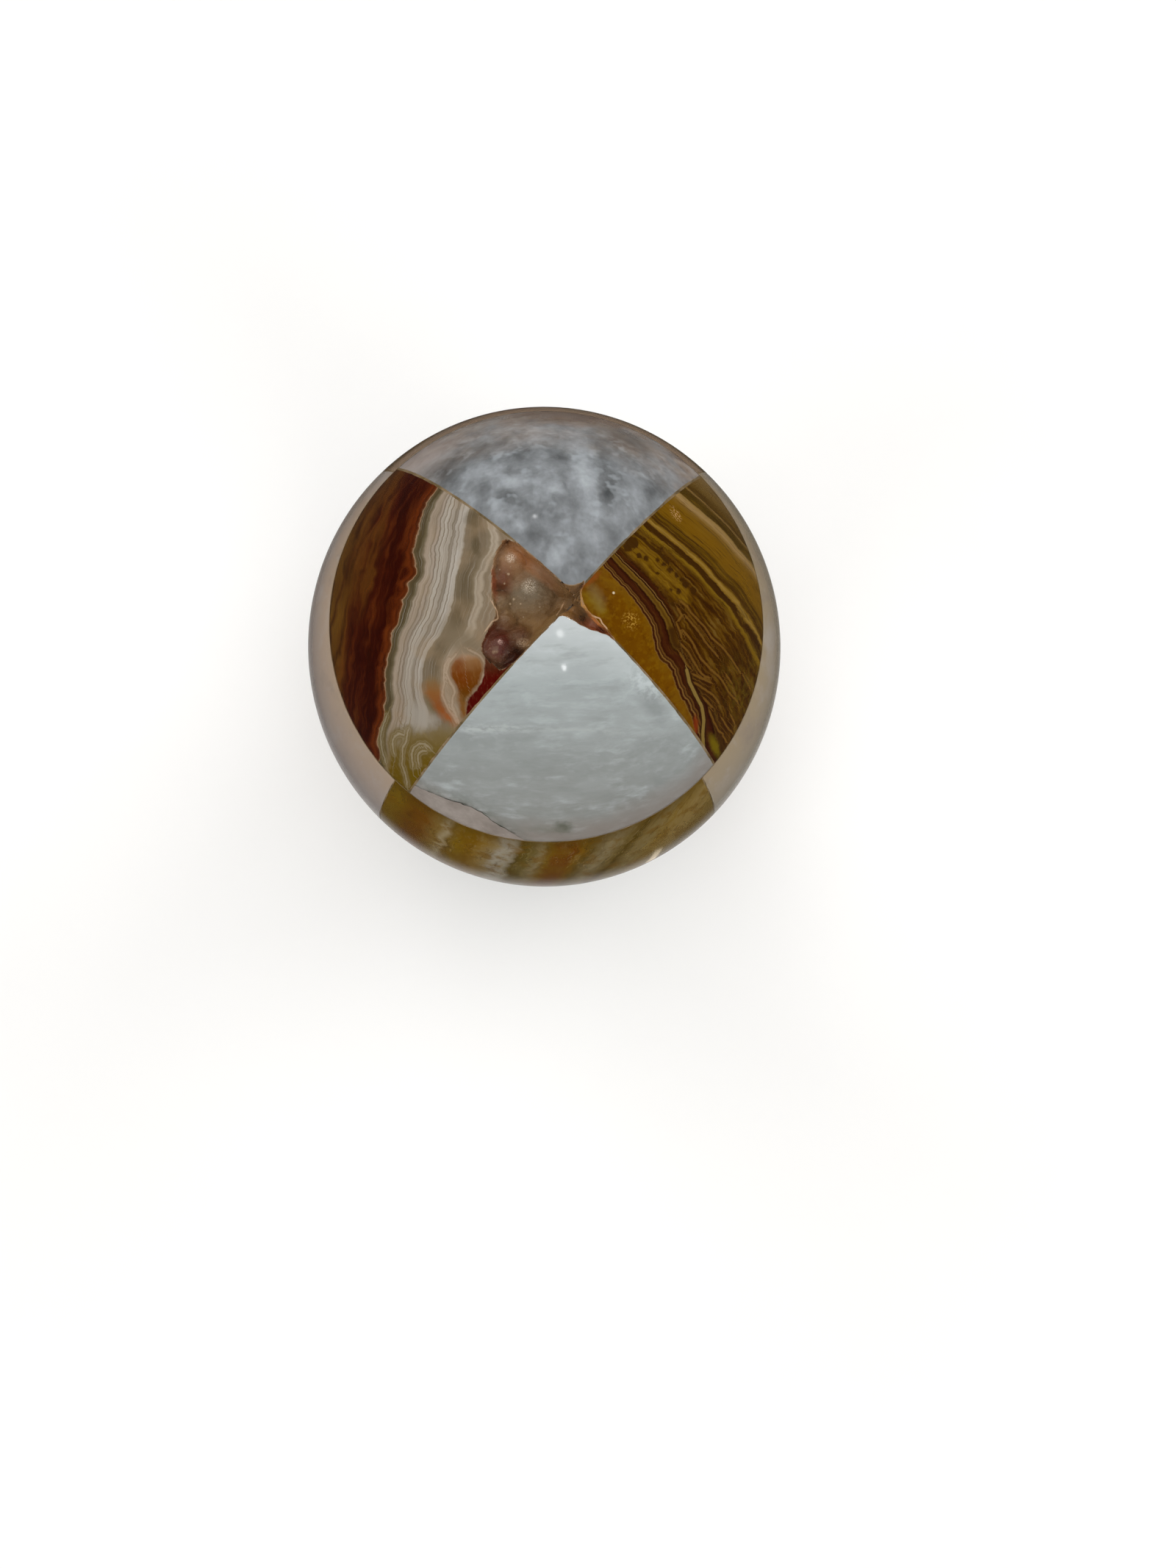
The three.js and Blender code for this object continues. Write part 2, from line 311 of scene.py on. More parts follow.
def wedge(grid, tip):
    """A closed block behind a grid of points on the egg's side, with flat ends and one inner edge."""
    rows, columns = grid.shape[:2]
    points = grid.reshape(-1, 3)
    high, low = len(points), len(points) + 1
    ends = [[*tip, grid[0, 0, 2]], [*tip, grid[-1, 0, 2]]]
    last = (rows - 1) * columns
    faces = grid_faces(rows, columns)
    faces.append([high] + list(range(columns)))
    faces.append([low] + list(range(last + columns - 1, last - 1, -1)))
    faces.append([high, low] + list(range(last, -1, -columns)))
    faces.append([low, high] + list(range(columns - 1, last + columns, columns)))
    return np.vstack([points, ends]), faces


def joined(bodies):
    """Several closed bodies as the points and faces of one mesh."""
    points, faces, count = [], [], 0
    for body_points, body_faces in bodies:
        points.append(body_points)
        faces += [[count + i for i in face] for face in body_faces]
        count += len(body_points)
    return np.vstack(points), faces


def linked(name, points, faces, material):
    """A mesh object of one material in the scene, from points in metres."""
    mesh = bpy.data.meshes.new(name)
    mesh.from_pydata(np.asarray(points).tolist(), [], faces)
    mesh.update()
    mesh.materials.append(material)
    made = bpy.data.objects.new(name, mesh)
    bpy.context.scene.collection.objects.link(made)
    return made


def make_piece(name, body, material, node, fields=None, sharp=35):
    """A piece that stands for its CAD node, with the numbers that its material reads at its points."""
    points, faces = body
    piece = linked(name, points * MM, faces, material)
    for field, values in (fields(points) if fields else {}).items():
        attribute = piece.data.attributes.new(field, "FLOAT", "POINT")
        attribute.data.foreach_set("value", np.asarray(values, np.float32))
    piece.data.shade_smooth()
    piece.data.set_sharp_from_angle(angle=math.radians(sharp))
    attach(piece, "root")
    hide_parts(node)
    return piece


def tone(red, green, blue):
    """A colour given as seen on a screen, 0 to 255, as the linear colour that shaders take."""
    def linear(value):
        share = value / 255
        return share / 12.92 if share <= 0.04045 else ((share + 0.055) / 1.055) ** 2.4
    return (linear(red), linear(green), linear(blue), 1.0)


# How high the polish's waves and the crystal crust's grains are, and how much rougher the crust is
WAVE_HEIGHT = 0.0015
GRAIN_HEIGHT = 0.08
CRUST_ROUGHNESS = 0.03


class Finish:
    """The shader of one material, with short names for the nodes that it is made of."""

    def __init__(self, name, roughness=0.12, **sockets):
        self.material = bpy.data.materials.new(name)
        self.material.use_nodes = True
        self.tree = self.material.node_tree
        self.shader = self.tree.nodes["Principled BSDF"]
        self.shader.inputs["Roughness"].default_value = roughness
        for socket, value in sockets.items():
            self.shader.inputs[socket.replace("_", " ")].default_value = value
        self.place = self.vector("SCALE", self.node("TexCoord").outputs["Object"], scale=1 / MM)

    def node(self, kind, settings=None, **inputs):
        made = self.tree.nodes.new("ShaderNode" + kind)
        for key, value in (settings or {}).items():
            setattr(made, key, value)
        for key, value in inputs.items():
            self.put(value, made.inputs[key.replace("_", " ")])
        return made

    def put(self, value, socket):
        if isinstance(value, bpy.types.NodeSocket):
            self.tree.links.new(value, socket)
        else:
            socket.default_value = value

    def math(self, operation, first, second=0.0):
        made = self.node("Math", {"operation": operation})
        self.put(first, made.inputs[0])
        self.put(second, made.inputs[1])
        return made.outputs[0]

    def plus(self, first, second):
        return self.math("ADD", first, second)

    def times(self, product, *others):
        for value in others:
            product = self.math("MULTIPLY", product, value)
        return product

    def vector(self, operation, first, second=(0, 0, 0), scale=None):
        made = self.node("VectorMath", {"operation": operation})
        self.put(first, made.inputs[0])
        self.put(second, made.inputs[1])
        if scale is not None:
            self.put(scale, made.inputs["Scale"])
        return made.outputs["Value" if operation == "LENGTH" else "Vector"]

    def stretched(self, scale, turn=0.0, shift=(0, 0, 0), place=None):
        """The place in millimetres, turned about Z, moved and stretched."""
        made = self.node("Mapping", {"vector_type": "TEXTURE"}, Vector=place or self.place)
        made.inputs["Location"].default_value = shift
        made.inputs["Rotation"].default_value = (0, 0, math.radians(turn))
        made.inputs["Scale"].default_value = scale
        return made.outputs[0]

    def noise(self, size, detail=3.0, rough=0.5, place=None):
        """Noise from 0 to 1, with features of a size in millimetres."""
        return self.node("TexNoise", Vector=place or self.place, Scale=1 / size, Detail=detail,
                         Roughness=rough).outputs["Fac"]

    def spread(self, value, low, high, to_low=0.0, to_high=1.0):
        """A value stretched from one range to another, and held at its ends."""
        made = self.node("MapRange", Value=value)
        for name, end in (("From Min", low), ("From Max", high), ("To Min", to_low), ("To Max", to_high)):
            made.inputs[name].default_value = end
        return made.outputs[0]

    def ramp(self, value, stops):
        """Colours along a value: stops are (value, red, green, blue)."""
        low, high = stops[0][0], stops[-1][0]
        made = self.node("ValToRGB", Fac=self.spread(value, low, high))
        elements = made.color_ramp.elements
        while len(elements) > 1:
            elements.remove(elements[-1])
        elements[0].color = tone(*stops[0][1:])
        for at, *colour in stops[1:]:
            elements.new((at - low) / (high - low)).color = tone(*colour)
        return made.outputs["Color"]

    def mix(self, share, first, second, blend="MIX"):
        made = self.node("Mix", {"data_type": "RGBA", "blend_type": blend})
        self.put(share, made.inputs[0])
        for colour, socket in ((first, made.inputs[6]), (second, made.inputs[7])):
            self.put(tone(*colour) if isinstance(colour, tuple) else colour, socket)
        return made.outputs[2]

    def field(self, name):
        """A number kept at the mesh's points."""
        return self.node("Attribute", {"attribute_name": name}).outputs["Fac"]

    def spot(self, centre, radii, turn=0.0, soft=0.4, place=None):
        """1 inside an oval in plan and 0 outside it, with a soft edge."""
        flat = self.stretched((radii[0], radii[1], 1e6), turn, (centre[0], centre[1], 0), place)
        return self.spread(self.vector("LENGTH", flat), 1 - soft, 1 + soft, 1, 0)

    def plain(self, colour):
        """One linear colour."""
        made = self.node("RGB")
        made.outputs[0].default_value = colour
        return made.outputs[0]

    def centred(self, size, place=None, detail=3.0):
        """Noise about zero."""
        return self.math("SUBTRACT", self.noise(size, detail, 0.55, place), 0.5)

    def shaken(self, name, shake, size):
        """A distance kept at the mesh's points, made uneven by noise."""
        value = self.field(name)
        return self.plus(value, self.times(self.centred(size), shake)) if shake else value

    def patch(self, name, soft=0.1, shake=0.5, size=0.8):
        """1 inside an outline and 0 outside it, from the signed distance kept in a field."""
        return self.spread(self.shaken(name, shake, size), -soft, soft)

    def stroke(self, name, half, soft=0.06, shake=0.12, size=0.7):
        """1 along a line and 0 beside it, from the signed distance kept in a field."""
        away = self.math("ABSOLUTE", self.shaken(name, shake, size))
        return self.spread(away, half + soft, half)

    def seam(self, layer, at, half, soft=0.12):
        """1 in a thin layer and 0 beside it."""
        away = self.math("ABSOLUTE", self.math("SUBTRACT", layer, at))
        return self.spread(away, half + soft, half)

    def lay(self, colour, over, amount, *shares):
        """A colour laid over another to an amount, where all the shares are high."""
        return self.mix(self.times(*shares, amount), colour, over)

    def layers(self, colour, rows):
        """A colour with several others laid over it in turn: rows of (colour, amount, shares)."""
        for row in rows:
            colour = self.lay(colour, *row)
        return colour

    def across(self, x, y):
        """A place made of two numbers."""
        return self.node("CombineXYZ", X=x, Y=y).outputs[0]

    def axis(self, which, place):
        """One number of a place: 0 for right, 1 for back and 2 for up."""
        return self.node("SeparateXYZ", Vector=place).outputs[which]

    def outward(self, place):
        """How far from the egg's axis a place lies."""
        return self.vector("LENGTH", self.stretched((1, 1, 1e6), place=place))

    def shifted(self, size, amount, detail=2.0):
        """The place in millimetres, shaken sideways by noise."""
        shake = self.node("TexNoise", Vector=self.place, Scale=1 / size, Detail=detail)
        centred = self.vector("SUBTRACT", shake.outputs["Color"], (0.5, 0.5, 0.5))
        return self.vector("ADD", self.place, self.vector("SCALE", centred, scale=amount))

    def coloured(self, colour, shade=STONE_SHADE):
        """The finished material, with its colours brought to the depth they have in the photo's light."""
        self.put(self.mix(1.0, colour, self.plain(shade), "MULTIPLY"), self.shader.inputs["Base Color"])
        return self.material

    def polished(self, colour, low=0.07, high=0.16, crust=None):
        """The finished material, faintly wavy and unevenly smooth, and grainy where it is a crust."""
        rough = self.spread(self.noise(1.5, 4, 0.6), 0.3, 0.7, low, high)
        height = self.times(self.noise(0.8, 2, 0.5), WAVE_HEIGHT * MM)
        if crust:
            rough = self.plus(rough, self.times(crust, CRUST_ROUGHNESS))
            height = self.plus(height, self.times(self.noise(0.14, 2, 0.7), crust, GRAIN_HEIGHT * MM))
        bump = self.node("Bump", Height=height, Strength=1.0, Distance=1.0)
        self.put(rough, self.shader.inputs["Roughness"])
        self.put(bump.outputs[0], self.shader.inputs["Normal"])
        return self.coloured(colour)


def hollow_skin(f, colour, patches=(), painted_glints=()):
    """The colours of the hollow's wall, wherever the stone lies below its polished surface, with painted
    glints on its lumps where they are given.
    """
    depth = f.field("depth")
    place = f.shifted(0.6, 0.6, 4)
    skin = f.ramp(f.noise(0.7, 4, 0.6), [(0.35, 104, 80, 54), (0.5, 120, 95, 66), (0.66, 136, 111, 82)])
    for centre, radii, turn, inner in patches:
        skin = f.mix(f.spot(centre, radii, turn, 0.6, place), skin, inner)
    skin = f.layers(skin, [
        ((86, 56, 34), 0.35, f.spread(f.noise(0.3, 4, 0.65), 0.56, 0.7)),
        ((74, 42, 24), 0.5, f.spread(f.noise(0.13, 3, 0.6), 0.64, 0.7)),
        ((206, 186, 160), 0.6, f.spread(f.noise(0.1, 2), 0.69, 0.74)),
    ])
    glint_specks = f.spread(f.noise(0.09, 2, 0.7), 0.46, 0.6)
    # Painted glints: pale speckled spots standing in for the lamps' highlights on the lumps
    for centre, radii, glint_colour in painted_glints:
        skin = f.lay(skin, glint_colour, 1, f.spot(centre, radii, 0, 0.7), glint_specks)
    rim = f.times(f.spread(depth, 0.24, 0.06), f.spread(f.noise(0.6, 3), 0.4, 0.6, 0.05, 0.8))
    skin = f.mix(rim, skin, (178, 150, 118))
    return f.mix(f.spread(depth, 0.012, 0.03), colour, skin)


def hollowed(f, colour, patches, painted_glints=(), over=()):
    """The finished material of a crown block, with a crystal crust where the hollow goes into it, and
    painted glints on that crust where given.
    """
    colour = f.layers(hollow_skin(f, colour, patches, painted_glints), over)
    return f.polished(colour, 0.06, 0.13, f.spread(f.field("depth"), 0.012, 0.05))


def banding(f, wave=0.5, wave_size=1.2, run=0.14, cusps=0.0):
    """How far across the stone's layers a point lies, and a place stretched along them for streaks."""
    layer, along = f.field("layer"), f.field("along")
    parallel = f.across(f.times(layer, 0.22), along)
    layer = f.plus(layer, f.times(f.centred(wave_size, parallel), wave))
    if cusps:
        scallop = f.math("ABSOLUTE", f.centred(3.8, parallel, 1))
        layer = f.plus(layer, f.times(f.math("SUBTRACT", scallop, 0.08), -cusps * 2))
    drawn = f.across(layer, f.times(along, run))
    return layer, along, drawn


RED_STOPS = [
    (-14.5, 108, 84, 32), (-12.6, 96, 68, 18), (-11, 86, 52, 9), (-9.4, 96, 60, 12), (-7.8, 80, 43, 6),
    (-6.6, 92, 50, 8), (-5.2, 72, 28, 3), (-4, 64, 16, 1), (-2.4, 50, 7, 0), (-1.5, 56, 10, 0),
    (-1.05, 82, 30, 4), (-0.7, 104, 44, 10), (-0.4, 82, 32, 6), (-0.14, 110, 60, 28),
    (-0.04, 168, 134, 104),
]
CREAM_STOPS = [
    (0, 166, 134, 104), (0.12, 96, 80, 52), (0.9, 80, 67, 42), (1.5, 104, 91, 65), (1.9, 126, 112, 90),
    (2.2, 160, 142, 120), (2.6, 172, 154, 134), (3.3, 164, 147, 126), (3.55, 132, 116, 96),
    (3.75, 170, 154, 136), (4.15, 176, 160, 143), (4.4, 124, 109, 92), (4.65, 176, 164, 148),
    (5.6, 186, 176, 161), (6.3, 182, 171, 156), (6.95, 174, 163, 147), (7.25, 134, 121, 104),
    (7.5, 158, 146, 130), (7.7, 132, 119, 102), (7.95, 184, 174, 160), (9, 190, 181, 168),
    (9.8, 178, 167, 151), (10.05, 124, 109, 86), (12, 112, 97, 74), (13.6, 122, 106, 82),
    (14.5, 140, 124, 100), (14.85, 182, 167, 146), (15.1, 164, 148, 126), (15.5, 178, 162, 140),
    (15.9, 142, 125, 102), (17, 152, 131, 105), (20, 142, 112, 84),
]


def red_brown_stone(name, crown=False):
    """Dark red brown onyx against wavy cream bands."""
    f = Finish(name)
    layer, along, drawn = banding(f, 0.8, 1.1, cusps=1.2)
    across = f.plus(f.field("across"), f.times(f.centred(3.0, None, 2), 2.2))
    flames = f.across(across, f.times(along, 0.13))
    streak = f.noise(0.8, 4, 0.6, flames)
    broad = f.spread(f.noise(2.0, 3, 0.5, flames), 0.3, 0.7, -2.2, 2.2)
    golden = f.mix(f.spread(layer, -9, -5), (122, 86, 24), (112, 52, 10))
    red = f.ramp(f.plus(layer, f.times(broad, f.spread(layer, -1.0, -3.0))), RED_STOPS)
    red = f.layers(red, [
        (golden, 0.5, f.spread(streak, 0.5, 0.68)),
        ((38, 8, 0), 0.5, f.spread(streak, 0.48, 0.36)),
    ])
    fine = f.noise(0.3, 4, 0.6, f.across(layer, f.times(along, 0.05)))
    patchy = f.spread(f.noise(1.5, 3, 0.5, drawn), 0.4, 0.55, 0.2, 1)
    cream = f.layers(f.ramp(layer, CREAM_STOPS), [
        ((118, 102, 82), 0.45, f.spread(fine, 0.54, 0.66)),
        ((204, 195, 181), 0.35, f.spread(fine, 0.45, 0.32)),
        *[((128, 112, 92), 0.85, f.seam(layer, at, 0.05), patchy) for at in (5.3, 6.2, 8.6)],
        ((138, 122, 102), 0.45, f.spread(f.noise(2.0, 4, 0.6, drawn), 0.5, 0.62), f.spread(layer, 2.4, 4)),
        ((140, 122, 100), 0.3, f.spread(along, 23, 30), f.spread(layer, 2, 4)),
        ((166, 140, 108), 0.35, f.spread(f.noise(3.4, 3), 0.48, 0.66), f.spread(layer, 2.2, 3)),
    ])
    if crown:
        cream = left_features(f, layer, cream)
    colour = f.mix(f.spread(layer, -0.02, 0.02), red, cream)
    if not crown:
        return f.polished(colour)
    colour = f.lay(colour, maroon_corner(f), 1, f.patch("maroon", 0.08, 0.7, 0.9))
    return hollowed(f, colour, LEFT_WALL, LEFT_PAINTED_GLINTS, [
        ((204, 172, 140), 0.85, f.stroke("flaw", 0.03, 0.07, 0.05)),
        ((206, 188, 160), 0.7, f.patch("dots", 0.05, 0)),
    ])


# Colours on the hollow's wall: centre and radii in plan, turn in degrees, and the colour
LEFT_WALL = [
    ((1.2, -0.9), (3.2, 2.0), 10, (118, 92, 60)), ((-2.0, -3.6), (3.4, 2.2), 40, (140, 112, 74)),
    ((-2.3, 0.4), (2.3, 2.0), 0, (112, 101, 84)), ((-4.2, 3.6), (2.3, 2.2), 0, (146, 112, 82)),
    ((-2.4, 3.4), (3.3, 0.6), -42, (150, 100, 60)), ((-0.9, 2.2), (1.3, 0.5), -40, (140, 108, 82)),
    ((-5.0, 1.4), (0.9, 1.4), 0, (100, 58, 36)), ((-6.0, 1.2), (0.3, 1.5), 8, (138, 78, 52)),
    ((-5.4, -5.2), (2.2, 2.3), 0, (72, 20, 10)), ((-6.4, -4.6), (1.0, 1.3), 0, (80, 36, 20)),
    ((-3.5, -6.6), (1.2, 1.6), 20, (40, 13, 4)), ((-4.3, -7.5), (1.6, 0.8), 46, (52, 16, 6)),
    ((-4.6, 5.7), (0.22, 0.35), 0, (70, 42, 22)), ((-3.1, -4.1), (1.0, 0.9), 40, (92, 60, 38)),
]
# Painted glints on the hollow's lumps: speckled pale spots where the small lamps' highlights fall; centre
# and radii in plan, and the colour
LEFT_PAINTED_GLINTS = [
    ((-2.2, 0.8), (0.6, 0.6), (232, 226, 214)), ((-4.2, 3.8), (0.4, 0.4), (255, 240, 222)),
    ((-5.3, -5.0), (0.22, 0.22), (246, 206, 196)), ((-4.5, 6.2), (0.2, 0.2), (250, 226, 200)),
    ((-6.1, 6.0), (0.3, 0.3), (232, 214, 190)), ((-6.8, -3.0), (0.35, 0.35), (226, 204, 176)),
    ((-2.8, -5.0), (0.5, 0.35), (214, 188, 156)),
]


MAROON_STOPS = [
    (-10.5, 82, 6, 1), (-8.8, 86, 10, 3), (-7.6, 84, 38, 18), (-6.2, 98, 64, 44),
]


def maroon_corner(f):
    """The dark red stone at the foot of the hollow, brown and flecked next to it."""
    back = f.axis(1, f.shifted(1.2, 1.2))
    colour = f.ramp(back, MAROON_STOPS)
    flecks = f.noise(0.4, 4, 0.6, f.stretched((0.5, 1.6, 1), 6))
    return f.layers(colour, [
        ((124, 72, 50), 0.4, f.spread(flecks, 0.54, 0.68)),
        ((50, 5, 2), 0.6, f.spread(flecks, 0.44, 0.32)),
    ])


FOOT_STOPS = [
    (-19.5, 108, 82, 2), (-17.6, 112, 86, 12), (-16, 118, 96, 42), (-14.6, 126, 106, 64),
    (-13.4, 136, 120, 88),
]
RING_STOPS = [
    (0, 180, 166, 138), (0.1, 150, 133, 100), (0.2, 118, 98, 54), (0.3, 148, 131, 96),
    (0.42, 120, 100, 56), (0.6, 112, 90, 32),
]
CARAMEL_STOPS = [
    (-13.4, 152, 84, 16), (-12.6, 160, 82, 20), (-11.4, 146, 80, 28), (-10, 148, 94, 42),
    (-8.6, 136, 108, 70),
]
LENS_STOPS = [
    (-11, 104, 70, 22), (-10, 108, 60, 6), (-9, 112, 60, 6), (-8, 122, 72, 24), (-7, 148, 106, 66),
    (-6.3, 174, 142, 112),
]
FOLD_STOPS = [
    (0, 198, 174, 148), (0.12, 170, 144, 116), (0.22, 138, 110, 82), (0.32, 176, 150, 122),
    (0.45, 140, 112, 82),
]


# Dull spots in the cream bands: centre and radii in plan, turn, and how dull
LEFT_DULL = [
    ((-7.9, 5.2), (0.45, 1.1), 8, 0.6), ((-8.4, 8.6), (0.8, 1.0), 20, 0.5),
    ((-10.2, -2.6), (0.7, 1.3), -20, 0.5), ((-8.9, 0.4), (0.6, 2.2), 4, 0.35),
]


def left_features(f, layer, cream):
    """The orange lens, the caramel patch and the swirled foot of the cream bands."""
    back = f.axis(1, f.shifted(2.0, 1.4))
    grain = f.noise(0.6, 4, 0.6, f.stretched((0.6, 1.8, 1), 14))
    foot = f.lay(f.ramp(back, FOOT_STOPS), (146, 124, 80), 0.5, f.spread(grain, 0.52, 0.7))
    grain = f.noise(0.5, 4, 0.6, f.stretched((0.6, 1.8, 1), 10))
    lens = f.layers(f.ramp(back, LENS_STOPS), [
        ((122, 56, 2), 0.8, f.patch("core", 0.7, 0.5)),
        ((160, 112, 66), 0.3, f.spread(grain, 0.5, 0.7)),
    ])
    swirl = f.math("ABSOLUTE", f.shaken("swirl", 0.34, 0.6))
    drape = f.math("ABSOLUTE", f.shaken("drape", 0.3, 0.7))
    place = f.shifted(0.8, 0.6)
    return f.layers(cream, [
        *[((94, 80, 56), dull, f.spot(centre, radii, turn, 0.35, place))
          for centre, radii, turn, dull in LEFT_DULL],
        ((134, 118, 94), 0.8, f.spot((-9.6, -4.8), (2.6, 1.3), -40, 0.5, f.shifted(1.2, 0.8))),
        (foot, 1, f.spread(back, -13.0, -14.2), f.spread(layer, 1.2, 3.4)),
        ((172, 163, 149), 0.8, f.patch("cloud", 0.6, 1.0)),
        ((106, 96, 66), 0.8, f.patch("shadow", 0.3, 0.5)),
        ((112, 88, 8), 0.9, f.patch("pool", 0.3, 0.8)),
        ((154, 138, 112), 0.7, f.spot((-17.2, -14.7), (0.9, 0.7), 20, 0.4, f.shifted(0.6, 0.4))),
        (f.ramp(swirl, RING_STOPS), 0.7, f.spread(swirl, 0.75, 0.4)),
        ((162, 140, 114), 0.75, f.patch("halo", 0.8, 0.9)),
        (f.ramp(back, CARAMEL_STOPS), 0.9, f.patch("caramel", 0.4, 0.8)),
        ((130, 86, 38), 1, f.patch("under", 0.3, 0.6)),
        (lens, 1, f.patch("lens", 0.22, 0.4)),
        (f.ramp(drape, FOLD_STOPS), 0.5, f.spread(drape, 0.44, 0.1)),
    ])


AMBER_STOPS = [
    (-9, 128, 90, 12), (-6, 120, 76, 2), (-3.4, 110, 66, 0), (-1.2, 114, 70, 0), (-0.1, 120, 80, 6),
]
GOLD_STOPS = [
    (0, 140, 110, 62), (0.13, 58, 24, 6), (0.28, 60, 24, 6), (0.38, 136, 106, 62), (0.5, 54, 20, 5),
    (0.66, 106, 76, 38), (0.78, 50, 16, 5), (1.1, 70, 34, 14), (1.45, 62, 26, 10), (1.7, 38, 10, 2),
    (1.86, 112, 86, 34), (2.1, 86, 60, 12), (2.38, 120, 94, 36), (2.5, 40, 12, 4), (2.6, 44, 14, 5),
    (2.67, 142, 112, 72), (2.76, 40, 12, 3), (3.1, 66, 30, 8), (3.4, 54, 24, 3), (3.7, 74, 46, 3),
    (4.6, 86, 58, 5), (5.4, 72, 44, 2), (6.2, 90, 62, 5), (7, 62, 36, 1), (7.9, 70, 44, 2),
    (8.25, 120, 94, 16), (8.7, 128, 102, 24), (8.95, 66, 40, 2), (9.5, 60, 36, 1), (9.72, 132, 104, 38),
    (10, 152, 126, 66),
]
RIM_STOPS = [
    (10, 152, 126, 66), (10.4, 130, 102, 30), (10.75, 70, 44, 2), (11.7, 78, 54, 4), (12.1, 106, 80, 6),
    (12.6, 74, 50, 3), (13.3, 116, 86, 6), (15.5, 124, 92, 8), (17, 120, 90, 14), (18.2, 130, 102, 46),
    (19.2, 166, 142, 108), (20.1, 152, 128, 86), (20.6, 76, 58, 6), (22.2, 82, 62, 8),
    (22.6, 138, 114, 74), (23.1, 78, 56, 8), (24.6, 100, 78, 30), (28, 132, 110, 72), (32, 150, 128, 94),
]


def gold_brown_stone(name, crown=False):
    """Amber onyx that turns to brown, maroon and gold bands."""
    f = Finish(name)
    layer, along, drawn = banding(f, 0.5, 0.8, 0.12)
    blotched = f.plus(layer, f.times(f.spread(layer, 3.4, 5.5), f.centred(1.1, drawn, 5), 1.5))
    gold, rim = f.ramp(blotched, GOLD_STOPS), f.ramp(blotched, RIM_STOPS)
    streak = f.noise(0.32, 5, 0.62, drawn)
    outer = f.spread(layer, 3.2, 4.2, 0.25, 1)
    colour = f.layers(f.mix(f.spread(blotched, 9.98, 10.02), gold, rim), [
        ((126, 98, 26), 0.6, f.spread(streak, 0.53, 0.66), outer),
        ((50, 26, 1), 0.65, f.spread(streak, 0.47, 0.34), outer),
    ])
    colour = f.mix(1.0, colour, f.plain((1.03, 0.9, 0.6, 1)), "MULTIPLY")
    if crown:
        colour = right_bands(f, layer, along, drawn, colour)
    amber = f.ramp(f.plus(layer, f.spread(f.noise(1.4, 4, 0.6), 0.3, 0.7, -1.5, 1.5)), AMBER_STOPS)
    amber = f.layers(amber, [
        ((142, 100, 8), 0.5, f.spread(f.noise(0.6, 4, 0.6), 0.5, 0.68)),
        ((92, 50, 0), 0.65, f.spread(f.noise(0.8, 4, 0.6), 0.46, 0.3)),
    ])
    beyond = f.spread(layer, -0.02, 0.02)
    if not crown:
        return f.polished(f.mix(beyond, amber, colour))
    amber = f.layers(amber, [
        ((136, 106, 6), 0.8, f.patch("yellow", 0.5, 1.0, 0.6)),
        ((136, 116, 68), 0.6, f.patch("pale", 0.6, 0.8, 0.6)),
        ((140, 74, 24), 0.8, f.spot((4.3, 1.5), (1.1, 0.3), 42, 0.5, f.shifted(0.4, 0.3))),
        ((196, 150, 60), 0.9, f.spot((8.6, -2.6), (0.8, 0.8), 0, 0.5),
         f.spread(f.noise(0.2, 3), 0.52, 0.6)),
        ((240, 220, 180), 1, f.spot((6.7, 0.2), (0.12, 0.12), 0, 0.5)),
    ])
    flaw = f.stroke("flaw", 0.03, 0.08, 0.1, 0.4)
    return hollowed(f, f.mix(beyond, amber, colour), RIGHT_WALL, over=[((216, 176, 136), 0.9, flaw)])


RIGHT_WALL = [
    ((3.6, -1.4), (1.5, 2.0), 35, (226, 172, 100)), ((4.8, -3.2), (1.4, 0.8), -40, (196, 124, 66)),
    ((3.7, 1.1), (0.45, 0.7), -20, (128, 62, 30)), ((6.0, -4.1), (0.9, 0.4), -38, (130, 72, 36)),
]


THREAD_STOPS = [
    (0.4, 58, 28, 0), (0.52, 84, 50, 0), (0.6, 106, 72, 8), (0.66, 118, 88, 34),
]
PATCH_STOPS = [
    (0.36, 82, 50, 1), (0.46, 112, 78, 4), (0.6, 130, 95, 10), (0.7, 144, 110, 32),
]


def right_bands(f, layer, along, drawn, colour):
    """The gold patch, the single dark and tan bands and the coloured flecks of the right block."""
    lower = f.spread(f.plus(along, f.centred(1.5)), 12.4, 12.8)
    deep = f.times(f.spread(f.plus(along, layer), 12.6, 15.5), f.spread(layer, 1.9, 2.8))
    threads = f.ramp(f.noise(0.4, 3, 0.6, drawn), THREAD_STOPS)
    gold = f.ramp(f.noise(0.3, 5, 0.65, drawn), PATCH_STOPS)
    olive = f.times(f.spread(along, 17, 22), f.spread(f.noise(0.9, 4, 0.6), 0.45, 0.6))
    return f.layers(colour, [
        ((60, 32, 7), 0.85, lower, f.spread(layer, 3.8, 2.9), f.spread(layer, 1.7, 1.9)),
        (threads, 0.8, deep, f.spread(layer, 8.5, 7.9)),
        (gold, 0.9, f.patch("gold", 0.35, 1.6, 0.8)),
        ((64, 36, 2), 0.95, f.stroke("dark", 0.17, 0.16, 0.4, 0.8)),
        ((64, 36, 3), 0.95, f.patch("dots", 0.08, 0.6, 0.4)),
        ((56, 22, 2), 0.55, f.stroke("tan", 0.22, 0.2, 0.24, 0.6)),
        ((136, 96, 34), 0.62, f.stroke("tan", 0.06, 0.13, 0.2, 0.5)),
        ((56, 30, 8), 0.85, f.stroke("stripe", 0.36, 0.1, 0.2, 0.6)),
        ((138, 112, 54), 1, f.stroke("stripe", 0.17, 0.08, 0.14, 0.6)),
        ((104, 82, 10), 0.6, olive, f.spread(layer, 3, 5)),
        ((132, 50, 12), 0.9, f.spot((16.9, -12.9), (0.3, 0.95), 6, 0.5, f.shifted(0.6, 0.4))),
        ((122, 102, 8), 0.9, f.spot((19.9, -14.9), (0.5, 1.3), 38, 0.5, f.shifted(0.6, 0.5))),
        ((206, 160, 100), 0.9, f.spot((14.2, 10.6), (0.5, 0.9), 25, 0.5),
         f.spread(f.noise(0.22, 3), 0.5, 0.6)),
    ])
